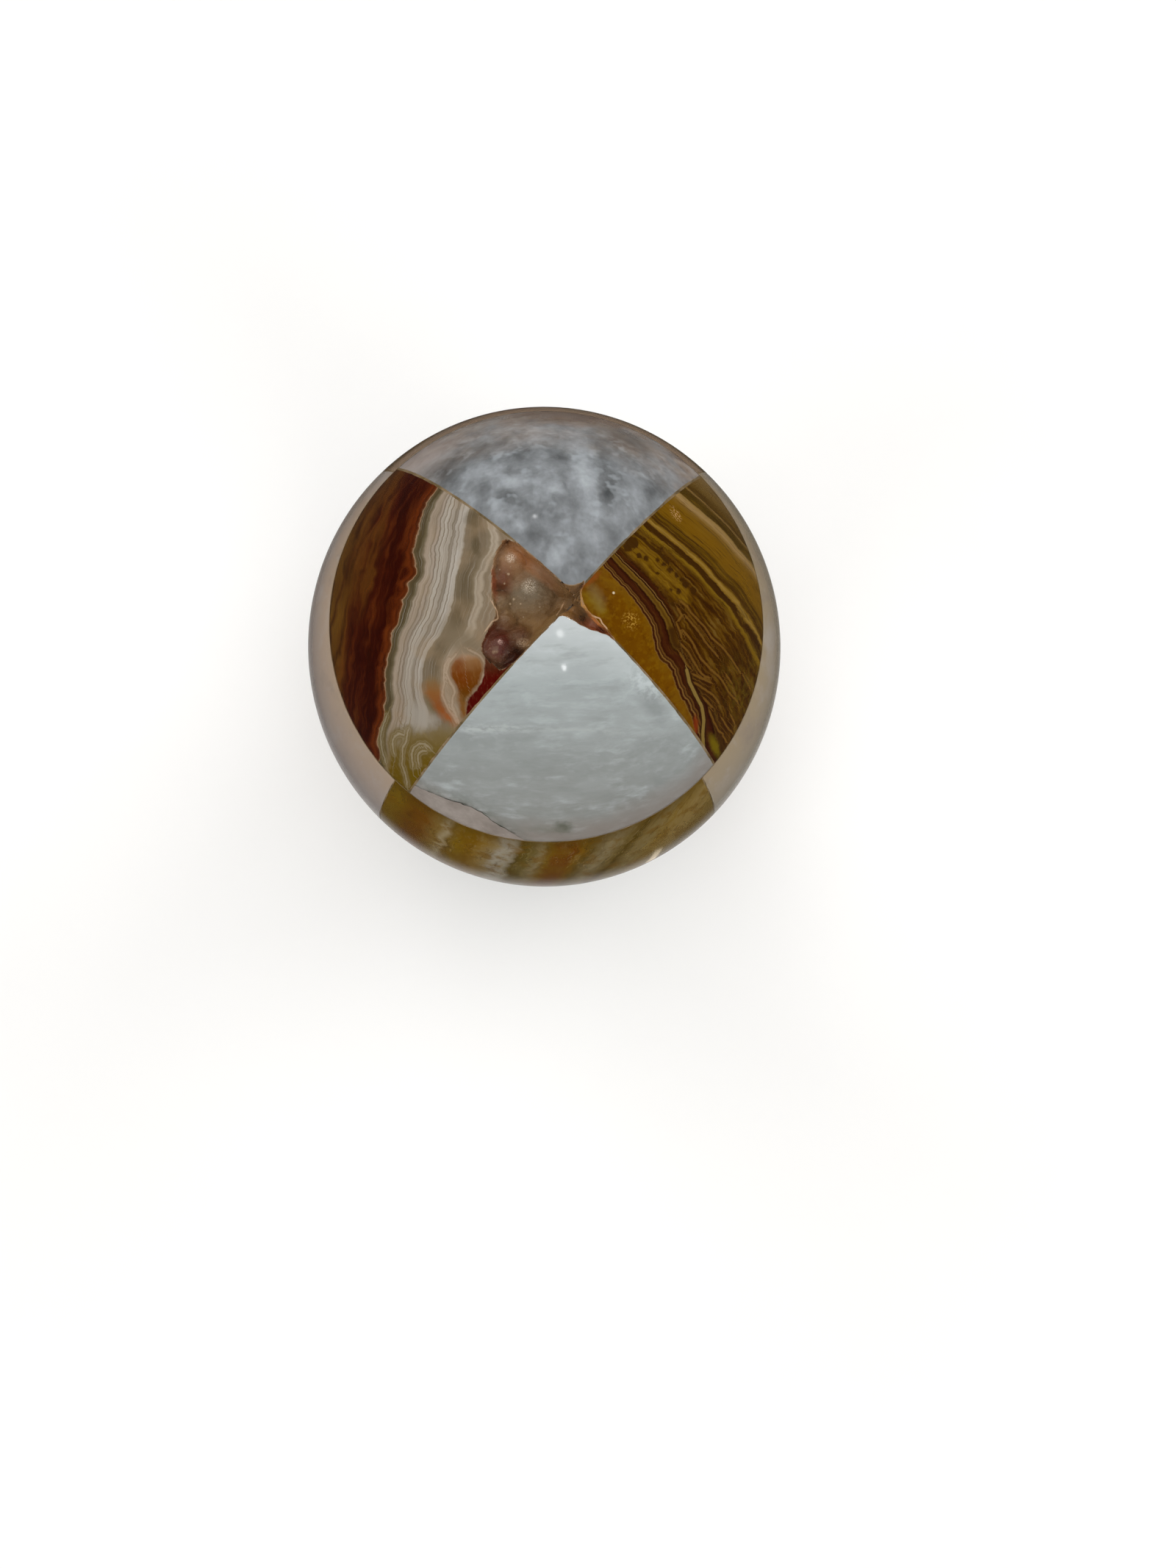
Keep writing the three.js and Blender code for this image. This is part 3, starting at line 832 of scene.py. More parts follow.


# Colours along the front block from its foot to its tip: lighter and bluer towards the tip, as painted
# light where the crown faces up to the lamps
FRONT_PAINTED_LIGHT_STOPS = [
    (-26, 142, 138, 130), (-21, 156, 156, 152), (-15, 166, 170, 168), (-9, 200, 208, 208),
    (-3, 248, 254, 255),
]


def white_stone(name, crown=False):
    """Bluish white onyx with fine wisps lying across it."""
    f = Finish(name)
    place = f.shifted(3, 1.4)
    cloud = f.noise(5, 4, 0.55, f.stretched((2.2, 1, 1), 3, place=place))
    wisp = f.noise(1.0, 5, 0.62, f.stretched((5, 0.9, 2), 4, place=place))
    flecks = f.spread(f.noise(0.6, 3, 0.6, f.stretched((1.8, 0.8, 1))), 0.58, 0.74)
    milky = f.spread(f.noise(1.3, 4, 0.6, f.stretched((1.6, 1, 1), 5)), 0.52, 0.66)
    colour = f.ramp(cloud, [(0.3, 150, 155, 152), (0.5, 166, 172, 169), (0.7, 182, 189, 187)])
    colour = f.layers(colour, [
        ((210, 218, 218), 0.45, f.spread(wisp, 0.52, 0.72)),
        ((132, 138, 133), 0.4, f.spread(wisp, 0.46, 0.3)),
        ((214, 221, 220), 0.22, flecks, f.spread(f.noise(3.2, 2), 0.5, 0.62)),
        ((212, 220, 220), 0.45, milky, f.spread(f.noise(4.5, 2), 0.48, 0.6)),
    ])
    if not crown:
        return f.polished(colour)
    strands = f.noise(1.1, 4, 0.6, f.stretched((5.0, 0.95, 2), 2, place=f.shifted(1.8, 0.6)))
    broken = f.spread(f.noise(0.9, 4, 0.6, f.stretched((2.2, 0.7, 1))), 0.42, 0.58)
    clots = f.spread(f.noise(0.8, 3, 0.6), 0.42, 0.58)
    # Painted shade beside the crack, on the stone within about a millimetre of it
    beside = f.spread(f.math("ABSOLUTE", f.field("crack")), 1.3, 0.1)
    sideways, mild = f.shifted(1.4, 0.8), f.shifted(1.0, 0.8)
    # Painted light: the front block made lighter towards its tip
    colour = f.mix(0.6, colour, f.ramp(f.axis(1, f.shifted(4, 3)), FRONT_PAINTED_LIGHT_STOPS))
    colour = f.layers(colour, [
        ((214, 222, 222), 0.42, f.spread(strands, 0.5, 0.7), f.spread(f.noise(3.4, 3), 0.44, 0.6)),
        ((142, 146, 142), 0.3, f.spread(strands, 0.45, 0.3)),
        ((150, 136, 126), 0.6, f.spread(f.outward(f.shifted(4, 2)), 23.4, 25.6)),
        ((208, 214, 212), 0.7, f.spot((-7.2, -13.95), (4.6, 0.34), -2, 0.8, sideways), broken),
        ((194, 199, 197), 0.6, f.spot((3.0, -14.1), (7.5, 0.3), -1, 0.8, sideways), broken),
        ((214, 222, 222), 0.8, f.spot((10.3, -9.0), (2.4, 1.2), -38, 0.5), clots),
        ((136, 140, 138), 0.5, f.spot((11.6, -11.4), (2.0, 1.0), -40, 0.6, mild)),
        ((88, 92, 74), 0.7, f.spot((1.8, -24.6), (1.0, 0.5), -8, 0.6, f.shifted(0.8, 0.9))),
        ((122, 122, 108), 0.5, f.spot((0.2, -25.0), (2.4, 0.4), -4, 0.6, mild)),
        # The painted shade beside the crack, then the dark line in it: painted shade along with the crack's
        # own dark glue
        ((112, 116, 106), 0.55, beside, f.spread(f.noise(1.2, 3), 0.35, 0.6)),
        ((66, 64, 54), 0.7, f.stroke("crack", 0.04, 0.1, 0.1, 0.5), f.spread(f.noise(1.6, 2), 0.46, 0.56)),
    ])
    return hollowed(f, colour, FRONT_WALL)


# More of the hollow's wall, where the front and back blocks reach it
FRONT_WALL = [((1.0, -1.8), (1.8, 0.8), 0, (174, 132, 82)), ((4.8, -3.6), (2.0, 0.7), -25, (124, 66, 40))]
BACK_WALL = [((2.2, 0.9), (2.4, 0.6), 0, (128, 100, 70))]

# Light and dark clouds in the back marble: centre and radii in plan, turn, and how light or dark
GREY_CLOUDS = [
    ((-8.4, 15.3), (1.9, 1.1), -8, 0.2), ((-3.8, 13.0), (1.6, 0.8), -4, 0.24),
    ((-5.8, 9.0), (1.2, 1.0), 0, 0.16), ((0.8, 11.9), (0.7, 0.6), 0, 0.26),
    ((0.6, 4.1), (0.7, 1.2), 0, 0.24), ((4.8, 5.9), (1.1, 1.2), 0, 0.16),
    ((6.7, 8.4), (0.9, 0.7), 0, 0.12), ((9.5, 11.9), (0.9, 1.1), 30, 0.16),
    ((-3.3, 7.4), (0.7, 0.6), 0, 0.22), ((-1.7, 20.4), (1.3, 1.6), 0, 0.12),
    ((3.9, 14.2), (1.2, 6.2), 3, 0.24), ((-0.7, 12.4), (0.8, 2.4), 0, 0.1),
    ((-4.7, 11.2), (0.9, 0.8), 0, -0.34), ((6.2, 11.8), (0.7, 0.9), 0, -0.36),
    ((1.2, 16.6), (1.4, 0.8), 0, -0.26), ((8.3, 19.3), (2.8, 1.8), -24, -0.34),
    ((-2.1, 6.4), (1.6, 0.8), -30, -0.16), ((-12.3, 15.6), (3.6, 1.6), 26, -0.4),
    ((-7.6, 18.6), (3.6, 0.9), 18, -0.24), ((11.7, 13.2), (1.6, 0.9), 44, -0.2),
    ((-7.4, 12.4), (0.7, 1.8), 6, -0.16), ((5.9, 16.0), (0.7, 3.2), 8, -0.2),
    ((-4.2, 17.0), (2.2, 0.8), 0, -0.14),
]


WARM_STOPS = [(0.36, 144, 122, 104), (0.52, 172, 152, 135), (0.66, 188, 175, 163)]
MARBLE_STOPS = [
    (0.1, 86, 88, 89), (0.32, 113, 115, 116), (0.5, 139, 142, 144), (0.66, 162, 166, 169),
    (0.9, 194, 200, 203),
]


def grey_stone(name, crown=False):
    """Mottled blue grey and white marble."""
    f = Finish(name)
    place = f.shifted(1.6, 1.2, 1)
    value = f.plus(f.times(f.centred(3.2, f.stretched((1, 1.8, 1), 4, place=place)), 0.5), 0.5)
    value = f.plus(value, f.times(f.centred(1.3, f.stretched((1, 1.6, 1), place=place)), 0.42))
    value = f.plus(value, f.times(f.centred(0.5, None, 2), 0.12))
    for centre, radii, turn, push in GREY_CLOUDS if crown else ():
        push *= 1.1 if push > 0 else 0.8
        value = f.plus(value, f.times(f.spot(centre, radii, turn, 0.8, place), push))
    clumps = f.times(f.spread(f.noise(1.1, 1), 0.48, 0.7), f.spread(f.noise(3.0, 1), 0.42, 0.62))
    colour = f.lay(f.ramp(value, MARBLE_STOPS), (190, 197, 201), 0.5, clumps)
    if not crown:
        return f.polished(colour)
    rim = f.spread(f.outward(f.shifted(6, 7)), 17.5, 27.0)
    warm = f.ramp(f.noise(2.4, 4, 0.6), WARM_STOPS)
    place = f.shifted(2, 1.2)
    colour = f.layers(colour, [
        (warm, 0.9, rim, f.spread(f.noise(3, 3), 0.36, 0.56, 0.5, 1)),
        ((184, 170, 162), 0.55, f.spot((-15.5, 18.5), (4.5, 2.4), 42, 0.5, place)),
        ((120, 98, 82), 0.7, f.spot((2.4, 25.2), (6.0, 2.2), 0, 0.5, place)),
        ((108, 98, 88), 0.6, f.spot((9.2, 21.5), (3.4, 1.5), -24, 0.5, place)),
    ])
    return hollowed(f, colour, BACK_WALL)


def pale_stone(name, upper=(190, 167, 144), lower=(178, 165, 158)):
    """Plain pinkish white onyx, a little warmer towards its upper edge."""
    f = Finish(name)
    cloud = f.noise(5, 5, 0.55, f.stretched((1, 1, 2.2)))
    wisp = f.noise(1.4, 4, 0.6, f.stretched((1, 1, 4)))
    colour = f.mix(f.spread(f.axis(2, f.shifted(6, 4)), 52, 64), lower, upper)
    return f.polished(f.layers(colour, [
        ((196, 188, 182), 0.5, f.spread(cloud, 0.52, 0.72)),
        ((158, 143, 132), 0.5, f.spread(cloud, 0.44, 0.3)),
        ((192, 183, 174), 0.35, f.spread(wisp, 0.6, 0.74)),
    ]))


AMBER_BELLY_STOPS = [
    (-24, 120, 92, 24), (-20, 122, 92, 4), (-18, 108, 66, 0), (-16, 116, 72, 4), (-14, 134, 106, 50),
    (-13, 166, 148, 112), (-12.2, 118, 90, 30), (-11, 130, 98, 0), (-9.3, 124, 88, 0),
    (-8.5, 138, 106, 40), (-6.9, 144, 122, 80), (-6, 164, 154, 134), (-4.4, 158, 147, 124),
    (-3.6, 94, 74, 16), (-2.4, 108, 90, 38), (-1, 138, 120, 82), (0, 122, 92, 20), (0.8, 116, 70, 0),
    (3, 114, 66, 0), (3.9, 124, 88, 6), (5, 104, 80, 24), (7.5, 142, 126, 90), (9.6, 118, 96, 46),
    (10.6, 92, 70, 8), (12.2, 130, 108, 60), (14.2, 138, 118, 70), (16, 140, 112, 48),
    (19.5, 150, 124, 68), (22, 146, 120, 64), (26, 132, 106, 46),
]


def amber_stone(name, dark=False):
    """Amber and olive brown onyx with cream wisps."""
    f = Finish(name)
    layer, _, drawn = banding(f, 2.6, 2.6, 0.22)
    streak = f.noise(0.7, 5, 0.62, drawn)
    right = f.spread(layer, -17, -12, 0.1, 1)
    colour = f.layers(f.ramp(layer, AMBER_BELLY_STOPS), [
        ((152, 130, 84), 0.4, f.spread(streak, 0.55, 0.7), right),
        ((78, 52, 1), 0.5, f.spread(streak, 0.46, 0.3)),
        ((166, 148, 108), 0.35, f.spread(f.noise(0.25, 4, 0.6, drawn), 0.58, 0.66), right),
        ((118, 82, 0), 0.6, f.spread(f.noise(2.2, 4, 0.6), 0.5, 0.62)),
    ])
    if not dark:
        top = f.spread(f.axis(2, f.shifted(1.4, 2.4)), 61.2, 63.8)
        return f.polished(f.lay(colour, (88, 64, 10), 0.55, top))
    top = f.spread(f.axis(2, f.shifted(1.4, 0.8)), 59.4, 61.4)
    return f.polished(f.lay(f.mix(0.5, colour, (76, 46, 18)), (170, 144, 120), 0.85, top))


def sliver_stone():
    """The pinkish grey flake at the foot of the front block."""
    f = Finish("pink_grey_onyx_sliver")
    colour = f.ramp(f.noise(2.4, 4, 0.6), [(0.3, 148, 137, 128), (0.5, 162, 151, 142),
                                           (0.7, 176, 166, 157)])
    return f.polished(f.lay(colour, (188, 178, 168), 0.5, f.spread(f.noise(0.5, 3), 0.62, 0.75)))


def cement_finish():
    """Pale tan filled adhesive, stained here and there."""
    f = Finish("tan_joint_cement", 0.3)
    colour = f.ramp(f.noise(2.2, 4, 0.6), [(0.34, 98, 80, 48), (0.5, 132, 110, 76), (0.68, 158, 136, 106)])
    colour = f.lay(colour, (88, 66, 34), 0.5, f.spread(f.noise(0.3, 3), 0.58, 0.68))
    wall = hollow_skin(f, colour, LEFT_WALL[:1] + LEFT_WALL[4:5] + RIGHT_WALL[1:])
    return f.coloured(f.mix(f.spot((0, 0), (HOLLOW_REACH, HOLLOW_REACH), 0, 0.05), colour, wall))


def resin_finish():
    """Clear brown casting resin."""
    f = Finish("clear_brown_resin", 0.04, Transmission_Weight=1.0, IOR=1.5)
    f.shader.inputs["Base Color"].default_value = tone(250, 246, 238)
    absorb = f.node("VolumeAbsorption")
    absorb.inputs["Color"].default_value = tone(214, 188, 148)
    absorb.inputs["Density"].default_value = 210.0
    out = f.tree.nodes["Material Output"]
    f.tree.links.new(absorb.outputs[0], out.inputs["Volume"])
    return f.material


def signed(points, line):
    """Signed distance in plan to a curve, positive on its left."""
    gap, side, _ = to_line(points, line)
    return gap * side


def nearest_line(points, lines):
    """Signed distance in plan to the nearest of several lines."""
    found = np.array([signed(points, line) for line in lines])
    return np.take_along_axis(found, np.abs(found).argmin(0)[None], 0)[0]


def dots(points, spots):
    """Distance in from the edges of round spots, negative outside them."""
    return np.max([radius - np.hypot(points[:, 0] - x, points[:, 1] - y) for x, y, radius in spots], axis=0)


def depth_field(points):
    """How far below the turned surface each point lies."""
    return {"depth": surface_height(points[:, 0], points[:, 1]) - points[:, 2]}


# Where the left block's red brown onyx meets its cream bands, and the edges of two zones in them
LEFT_CONTACT = [
    (-11.2, 15.8), (-12.67, 13.17), (-13.53, 11.72), (-14.2, 9.71), (-14.35, 7.69), (-14.81, 6.16),
    (-14.94, 4.96), (-14.42, 3.75), (-14.7, 2.87), (-15.46, 1.83), (-15.97, 0.11), (-16.59, -1.42),
    (-17.42, -3.45), (-17.62, -4.62), (-18.14, -6.28), (-18.56, -8.91), (-18.57, -10.32), (-18.99, -11.86),
    (-19.74, -13.22), (-20.08, -14.96), (-20.21, -16.43), (-20.8, -20),
]
LEFT_FLOW = [
    (-9.5, 18.0), (-14.4, 8.0), (-16.2, 0.0), (-18.6, -9.0), (-21.0, -21.0),
]
LEFT_EDGE = [
    (-8.3, 13), (-8.8, 9.7), (-9.1, 7.4), (-9.3, 4.8), (-9.9, 2.8), (-10.1, 1.0), (-10.3, -0.7),
    (-10.7, -2.1), (-11.4, -3.3), (-12.7, -5.0), (-13.5, -6.2), (-13.8, -7.6), (-14.0, -9.4),
    (-13.8, -10.8), (-13.3, -12.2), (-14.2, -15), (-16.5, -20),
]
LEFT_SECOND = [
    (-6.6, 11), (-6.7, 8.2), (-6.1, 6.2), (-6.3, 4.5), (-7.5, 2.8), (-7.9, 1.2), (-7.8, -0.8),
    (-8.3, -2.5), (-9.1, -4.1), (-10.7, -5.7), (-11.3, -7.2), (-11.5, -8.9), (-11.9, -9.9), (-11.7, -10.7),
    (-11.0, -11.7), (-10.4, -12.9), (-10.0, -16),
]
LEFT_PATCHES = {
    "lens": [
        (-9.4, -6.2), (-8.5, -6.2), (-7.5, -6.6), (-7.1, -7.4), (-7.2, -8.3), (-7.5, -9.1), (-8.2, -9.8),
        (-8.9, -10.4), (-9.3, -11.1), (-9.5, -10.7), (-9.9, -10.0), (-10.3, -9.1), (-10.7, -8.4),
        (-10.8, -7.5), (-10.3, -6.6),
    ],
    "core": [
        (-10.2, -6.6), (-9.7, -6.5), (-9.3, -7.1), (-9.3, -7.9), (-8.7, -8.7), (-9.1, -9.4), (-9.8, -9.2),
        (-10.3, -8.4), (-10.4, -7.5),
    ],
    "halo": [
        (-9.2, -5.7), (-10.3, -5.9), (-11.3, -6.8), (-11.6, -8.0), (-11.7, -9.2), (-11.8, -10.3),
        (-11.3, -11.6), (-10.2, -13.0), (-9.8, -12.0), (-10.1, -11), (-9.7, -9.9), (-9.8, -8.6),
        (-9.8, -7.4), (-9.0, -6.4),
    ],
    "caramel": [
        (-13.7, -8.5), (-12.8, -8.3), (-12.0, -8.7), (-11.8, -10.0), (-11.6, -11.2), (-11.0, -12.1),
        (-10.2, -13.0), (-9.9, -13.5), (-10.7, -13.5), (-11.6, -12.8), (-12.4, -11.9), (-13.3, -10.7),
        (-13.8, -9.5),
    ],
    "under": [
        (-9.8, -9.8), (-8.9, -9.4), (-8.3, -10.1), (-9.0, -10.7), (-9.1, -11.4), (-9.0, -12.6),
        (-9.6, -12.9), (-9.9, -11.4), (-10.1, -10.6),
    ],
    "maroon": [
        (-6.8, -6.0), (-4.8, -5.4), (-2.4, -5.0), (-3.4, -7.2), (-5.1, -9.2), (-6.9, -11.3), (-8.8, -13.1),
        (-9.1, -11.7), (-9.0, -10.8), (-8.3, -10.2), (-7.5, -9.5), (-7.1, -8.7), (-6.9, -7.5),
    ],
    "cloud": [
        (-16.0, -11.0), (-14.2, -11.0), (-13.1, -12.2), (-12.0, -12.9), (-13.2, -13.6), (-15.3, -13.6),
        (-16.1, -12.5),
    ],
    "shadow": [(-13.7, -9.9), (-13.1, -10.6), (-12.5, -11.7), (-12.9, -12.1), (-13.5, -11.2)],
    "pool": [(-16.5, -17.3), (-15.3, -17.1), (-14.8, -17.9), (-15.3, -19.3), (-16.3, -19.4)],
}
LEFT_BUBBLES = [
    (-4.4, 2.1, 0.14), (-4.8, 1.1, 0.1), (-5.0, 0.4, 0.1), (-3.8, -0.5, 0.12), (-4.2, -1.0, 0.12),
    (-1.1, -1.3, 0.08), (-2.8, -2.3, 0.08), (-3.1, -1.0, 0.08), (-2.3, -5.4, 0.1), (-5.3, 2.6, 0.08),
]
LEFT_STROKES = {
    "drape": [
        [(-10.1, -6.1), (-10.9, -7.0), (-11.2, -7.8), (-11.0, -8.6), (-10.5, -9.5), (-10.3, -10.0),
         (-10.6, -10.6), (-10.7, -11.4), (-10.3, -12.3), (-10.0, -13.2)],
        [(-10.9, -6.5), (-11.4, -7.2), (-11.5, -8.0), (-11.5, -8.9), (-11.7, -9.7), (-11.7, -10.3),
         (-11.5, -10.9), (-11.1, -11.7), (-10.6, -12.4), (-10.2, -13.2)],
        [(-8.6, -5.8), (-7.5, -6.4), (-7.0, -7.2), (-7.0, -8.0), (-7.4, -9.1)],
    ],
    "swirl": [
        [(-18.6, -11.9), (-19.3, -13.0), (-19.7, -14.3), (-19.7, -15.4), (-19.4, -16.8)],
        [(-18.1, -16.0), (-18.2, -15.0), (-17.9, -14.2), (-17.3, -13.9), (-16.7, -14.1)],
        [(-16.0, -13.6), (-16.3, -14.7), (-16.9, -15.5), (-17.0, -16.4), (-17.2, -17.3), (-16.9, -18.3),
         (-16.8, -19.6)],
        [(-15.8, -17.6), (-15.8, -16.2), (-15.5, -15.6), (-14.8, -15.2), (-14.1, -15.2), (-13.5, -15.7)],
        [(-15.0, -17.4), (-15.1, -16.5), (-14.7, -16.0), (-14.1, -16.0)],
    ],
    "flaw": [
        [(2.4, -0.8), (2.7, -0.1), (2.9, -0.2), (3.3, -0.9), (3.4, -1.3)], [(1.3, -0.9), (0.65, -2.2)],
        [(-6.9, -3.9), (-6.2, -3.0), (-5.5, -2.6), (-5.6, -1.9), (-6.2, -0.9)],
    ],
}

# The right block's bands: where they begin, the pale stripe further out, and single bands and patches
RIGHT_CONTACT = [
    (3.2, 5.6), (5.46, 3.11), (6.8, 1.68), (8.49, 0.15), (9.64, -1.32), (10.57, -2.48), (11.0, -3.5),
    (11.2, -4.97), (11.9, -6.45), (13.26, -7.2), (13.6, -8.1), (14.2, -9.5), (15.4, -10.9), (16.48, -12.5),
    (17.5, -15.4), (18.4, -19),
]
RIGHT_FLOW = [
    (3.2, 5.6), (8.4, 0.3), (11.6, -5.0), (14.6, -10.0), (18.6, -19.5),
]
RIGHT_STRIPE = [
    (8.6, 11.2), (10.8, 9.0), (12.7, 7.7), (15.2, 6.1), (17.5, 4.8), (19.2, 3.3), (21.6, 2.2), (23.0, 0.8),
    (24.8, -0.6), (26.0, -2.1), (28.5, -4.6),
]
RIGHT_PATCHES = {
    "pale": [(3.9, 0.9), (5.0, 0.6), (5.6, -0.6), (5.4, -1.8), (4.7, -1.0)],
    "yellow": [(3.4, 0.2), (4.5, -0.2), (5.6, -1.3), (6.1, -2.3), (4.9, -1.9), (3.8, -1.0)],
    "gold": [
        (7.6, 5.6), (9.4, 7.6), (11.2, 6.0), (12.8, 4.4), (14.2, 2.6), (15.6, 1.2), (15.1, -0.5),
        (14.1, 0.3), (12.5, 1.2), (11.0, 2.2), (9.4, 3.8),
    ],
}
RIGHT_BLOTS = [
    (8.8, 6.0, 0.75), (8.3, 5.4, 0.5), (10.4, 4.4, 0.3), (11.7, 4.4, 0.25), (12.4, 4.0, 0.3),
    (13.1, 3.5, 0.35), (13.9, 3.0, 0.3), (14.1, 1.2, 0.3), (15.0, 2.2, 0.45), (9.6, 4.6, 0.3),
    (14.6, 2.6, 0.3), (13.2, 1.3, 0.2), (11.6, 2.9, 0.18), (15.9, 1.6, 0.4), (12.2, 5.8, 0.2),
]
RIGHT_STROKES = {
    "dark": [
        [(8.6, 7.7), (9.3, 7.1), (10.2, 6.5), (11.1, 5.7), (12.0, 5.2), (12.8, 4.3)],
        [(10.0, 9.2), (10.6, 8.6), (11.8, 7.7), (13.5, 6.6), (15.0, 5.5), (16.5, 4.5), (17.8, 3.1),
         (19.5, 1.8), (21.5, 0.9)],
        [(13.4, -0.3), (14.6, -0.5), (14.9, -1.5), (16.2, -2.7), (17.8, -4.0), (19.6, -5.5)],
    ],
    "stripe": [
        [(15.3, -7.2), (15.7, -8.4), (16.6, -9.7), (17.5, -10.8), (17.95, -12.2), (18.0, -13.8),
         (18.5, -16)],
    ],
    "tan": [
        [(14.4, 0.1), (15.2, -0.3), (15.5, -0.8), (17.4, -2.2), (18.3, -3.2), (19.8, -4.0), (21.0, -4.9),
         (22.6, -6.3)],
        [(15.0, -1.4), (16.7, -2.9), (17.6, -3.9), (19.2, -5.1)],
        [(14.5, -4.5), (15.4, -5.2), (16.0, -6.0), (16.9, -7.1), (17.5, -7.5), (18.2, -7.6)],
        [(14.7, -3.0), (15.8, -4.0), (16.4, -4.9), (17.1, -5.8), (18.4, -6.7), (19.7, -7.4), (20.4, -8.0),
         (21.1, -8.8), (22.7, -9.7)],
        [(14.4, -5.5), (15.3, -6.6), (15.7, -6.9)], [(16.1, -7.5), (17.1, -7.8), (18.5, -8.1)],
        [(16.4, -8.4), (17.6, -8.9), (18.9, -9.4), (19.8, -10.1)], [(20.6, -7.0), (21.4, -7.7)],
        [(23.2, -6.6), (24.5, -7.8)], [(17.7, -9.9), (18.9, -10.7)],
        [(18.6, -11.2), (19.4, -12.3), (20.2, -13.2), (21.0, -13.5)],
        [(20.5, -11.8), (21.5, -12.7), (22.3, -13.1)], [(21.8, -11.3), (22.5, -12.0)],
        [(21.0, -13.7), (21.7, -14.3)], [(13.9, -2.4), (14.3, -3.1), (14.5, -3.7)],
        [(14.0, -0.7), (14.5, -1.4), (14.1, -2.0)],
    ],
    "flaw": [
        [(2.4, -0.8), (2.7, -0.1), (2.9, -0.2), (3.3, -0.9), (3.4, -1.3)],
        [(4.3, -2.3), (5.2, -2.6), (5.5, -3.1), (6.0, -3.6)], [(3.9, -3.5), (4.3, -3.6), (5.1, -3.5)],
    ],
}


def flow(points, line):
    """Distances along and across a smoothed curve, for streaks that follow it."""
    smooth = rounded(line, 3, closed=False)
    return {"along": to_line(points, smooth)[2], "across": signed(points, smooth)}


def layered(points, contact, edge, beyond):
    """How far across its layers a block's points lie: 0 at one curve, 10 at the next, then by distance."""
    first, second = (signed(points, rounded(line, 2, closed=False)) for line in (contact, edge))
    return first, second, np.where(first < 0, first, np.where(second < 0, np.minimum(
        10 * first / np.maximum(first - second, 0.01), 10), 10 + beyond * second))


def crown_fields(points, layer, line, patches, strokes, spots):
    """The fields that the two banded crown blocks share."""
    fields = {"layer": layer, **depth_field(points), **flow(points, line)}
    fields.update({name: inset(points, rounded(outline, 2)) for name, outline in patches.items()})
    fields.update({name: nearest_line(points, lines) for name, lines in strokes.items()})
    fields["dots"] = dots(points, spots)
    return fields


def left_fields(points):
    """The fields of the left crown block."""
    _, edge, layer = layered(points, LEFT_CONTACT, LEFT_EDGE, 1.0)
    third = signed(points, rounded(LEFT_SECOND, 2, closed=False))
    zone = np.where(third < 0, np.minimum(10 + 5 * edge / np.maximum(edge - third, 0.01), 15), 15 + third)
    layer = np.where(edge > 0, zone, layer)
    return crown_fields(points, layer, LEFT_FLOW, LEFT_PATCHES, LEFT_STROKES, LEFT_BUBBLES)


def right_fields(points):
    """The fields of the right crown block."""
    layer = layered(points, RIGHT_CONTACT, RIGHT_STRIPE, 1.6)[2]
    return crown_fields(points, layer, RIGHT_FLOW, RIGHT_PATCHES, RIGHT_STROKES, RIGHT_BLOTS)


def front_fields(points):
    """The fields of the front crown block."""
    return {**depth_field(points), "crack": signed(points, CRACK)}


def sloping_fields(tilt, turn, shift, swing=2.0):
    """Fields of a block whose layers cross it at a slope."""
    def fields(points):
        angle = math.radians(turn)
        level = points[:, 0] * math.cos(angle) + points[:, 1] * math.sin(angle)
        layer = level * math.cos(math.radians(tilt)) + points[:, 2] * math.sin(math.radians(tilt)) - shift
        layer = layer + swing * ripple(points, 14, 31)
        along = -level * math.sin(math.radians(tilt)) + points[:, 2] * math.cos(math.radians(tilt))
        return {"layer": layer, "along": along, "across": layer}
    return fields


def upright_fields(middle, slant=0.25, swap=1.0, shift=0.0):
    """Fields of a belly block whose layers stand upright at its left and lean over to its right."""
    def fields(points):
        turn = np.arctan2(points[:, 1], points[:, 0]) - math.radians(middle)
        turn = (turn + math.pi) % (2 * math.pi) - math.pi
        arc_length = 28 * turn
        lean = np.interp(arc_length, (-20, 0, 20), (0.0, 0.15, 1.0)) * slant * 4
        return {"layer": swap * (arc_length - lean * (points[:, 2] - 60)) + shift, "along": points[:, 2]}
    return fields


def crown_grid(inner, outer, rows, power=1.25):
    """Points of a crown block's top, from its tip to its rim, on the stone's surface."""
    share = np.linspace(0, 1, rows)[:, None, None] ** power
    plan = inner[None] * (1 - share) + outer[None] * share
    return np.concatenate([plan, stone_height(plan)[..., None]], -1)


# How far the edges along the joints waver, and how far they are rounded over
EDGE_WAVER = 0.09
EDGE_DROP = 0.02


def edge_worn(grid, joints, corner):
    """A block's grid with its edges along the joints a little worn, but not under the resin."""
    worn = grid.copy()
    for column, (name, side) in zip((0, -1), CORNERS[corner]):
        line = grid[:, column]
        bare = np.clip(-4 * in_hollow(line[:, :2]), 0, 1)
        push = side * EDGE_WAVER * ripple(line, 1.3, 11) * bare
        worn[:, column, :2] += push[:, None] * normal_of(joints, name)
        worn[:, column, 2] -= EDGE_DROP * bare
    return worn


CROWN_ROWS = 150
CROWN_COLUMNS = 190
TIP_BLUNT = {"back": 0.25, "left": 0.05, "front": 0.25, "right": 1.1}
CRACK_STEPS = 160
CRACK_WAVER = 0.12
CRACK_GAP = (0.004, 0.04)
RIM_STEPS = 400
SLIVER_ROWS = 24
SIDE_ROWS = 110
SIDE_COLUMNS = 170
ROUND_STEPS = 256
CROWN_LOW = CROWN_JOINT + LINE_HALF
RIM_RISE = 0.02
CROWN_RADIUS = float(radius_at(CROWN_LOW + 0.03))


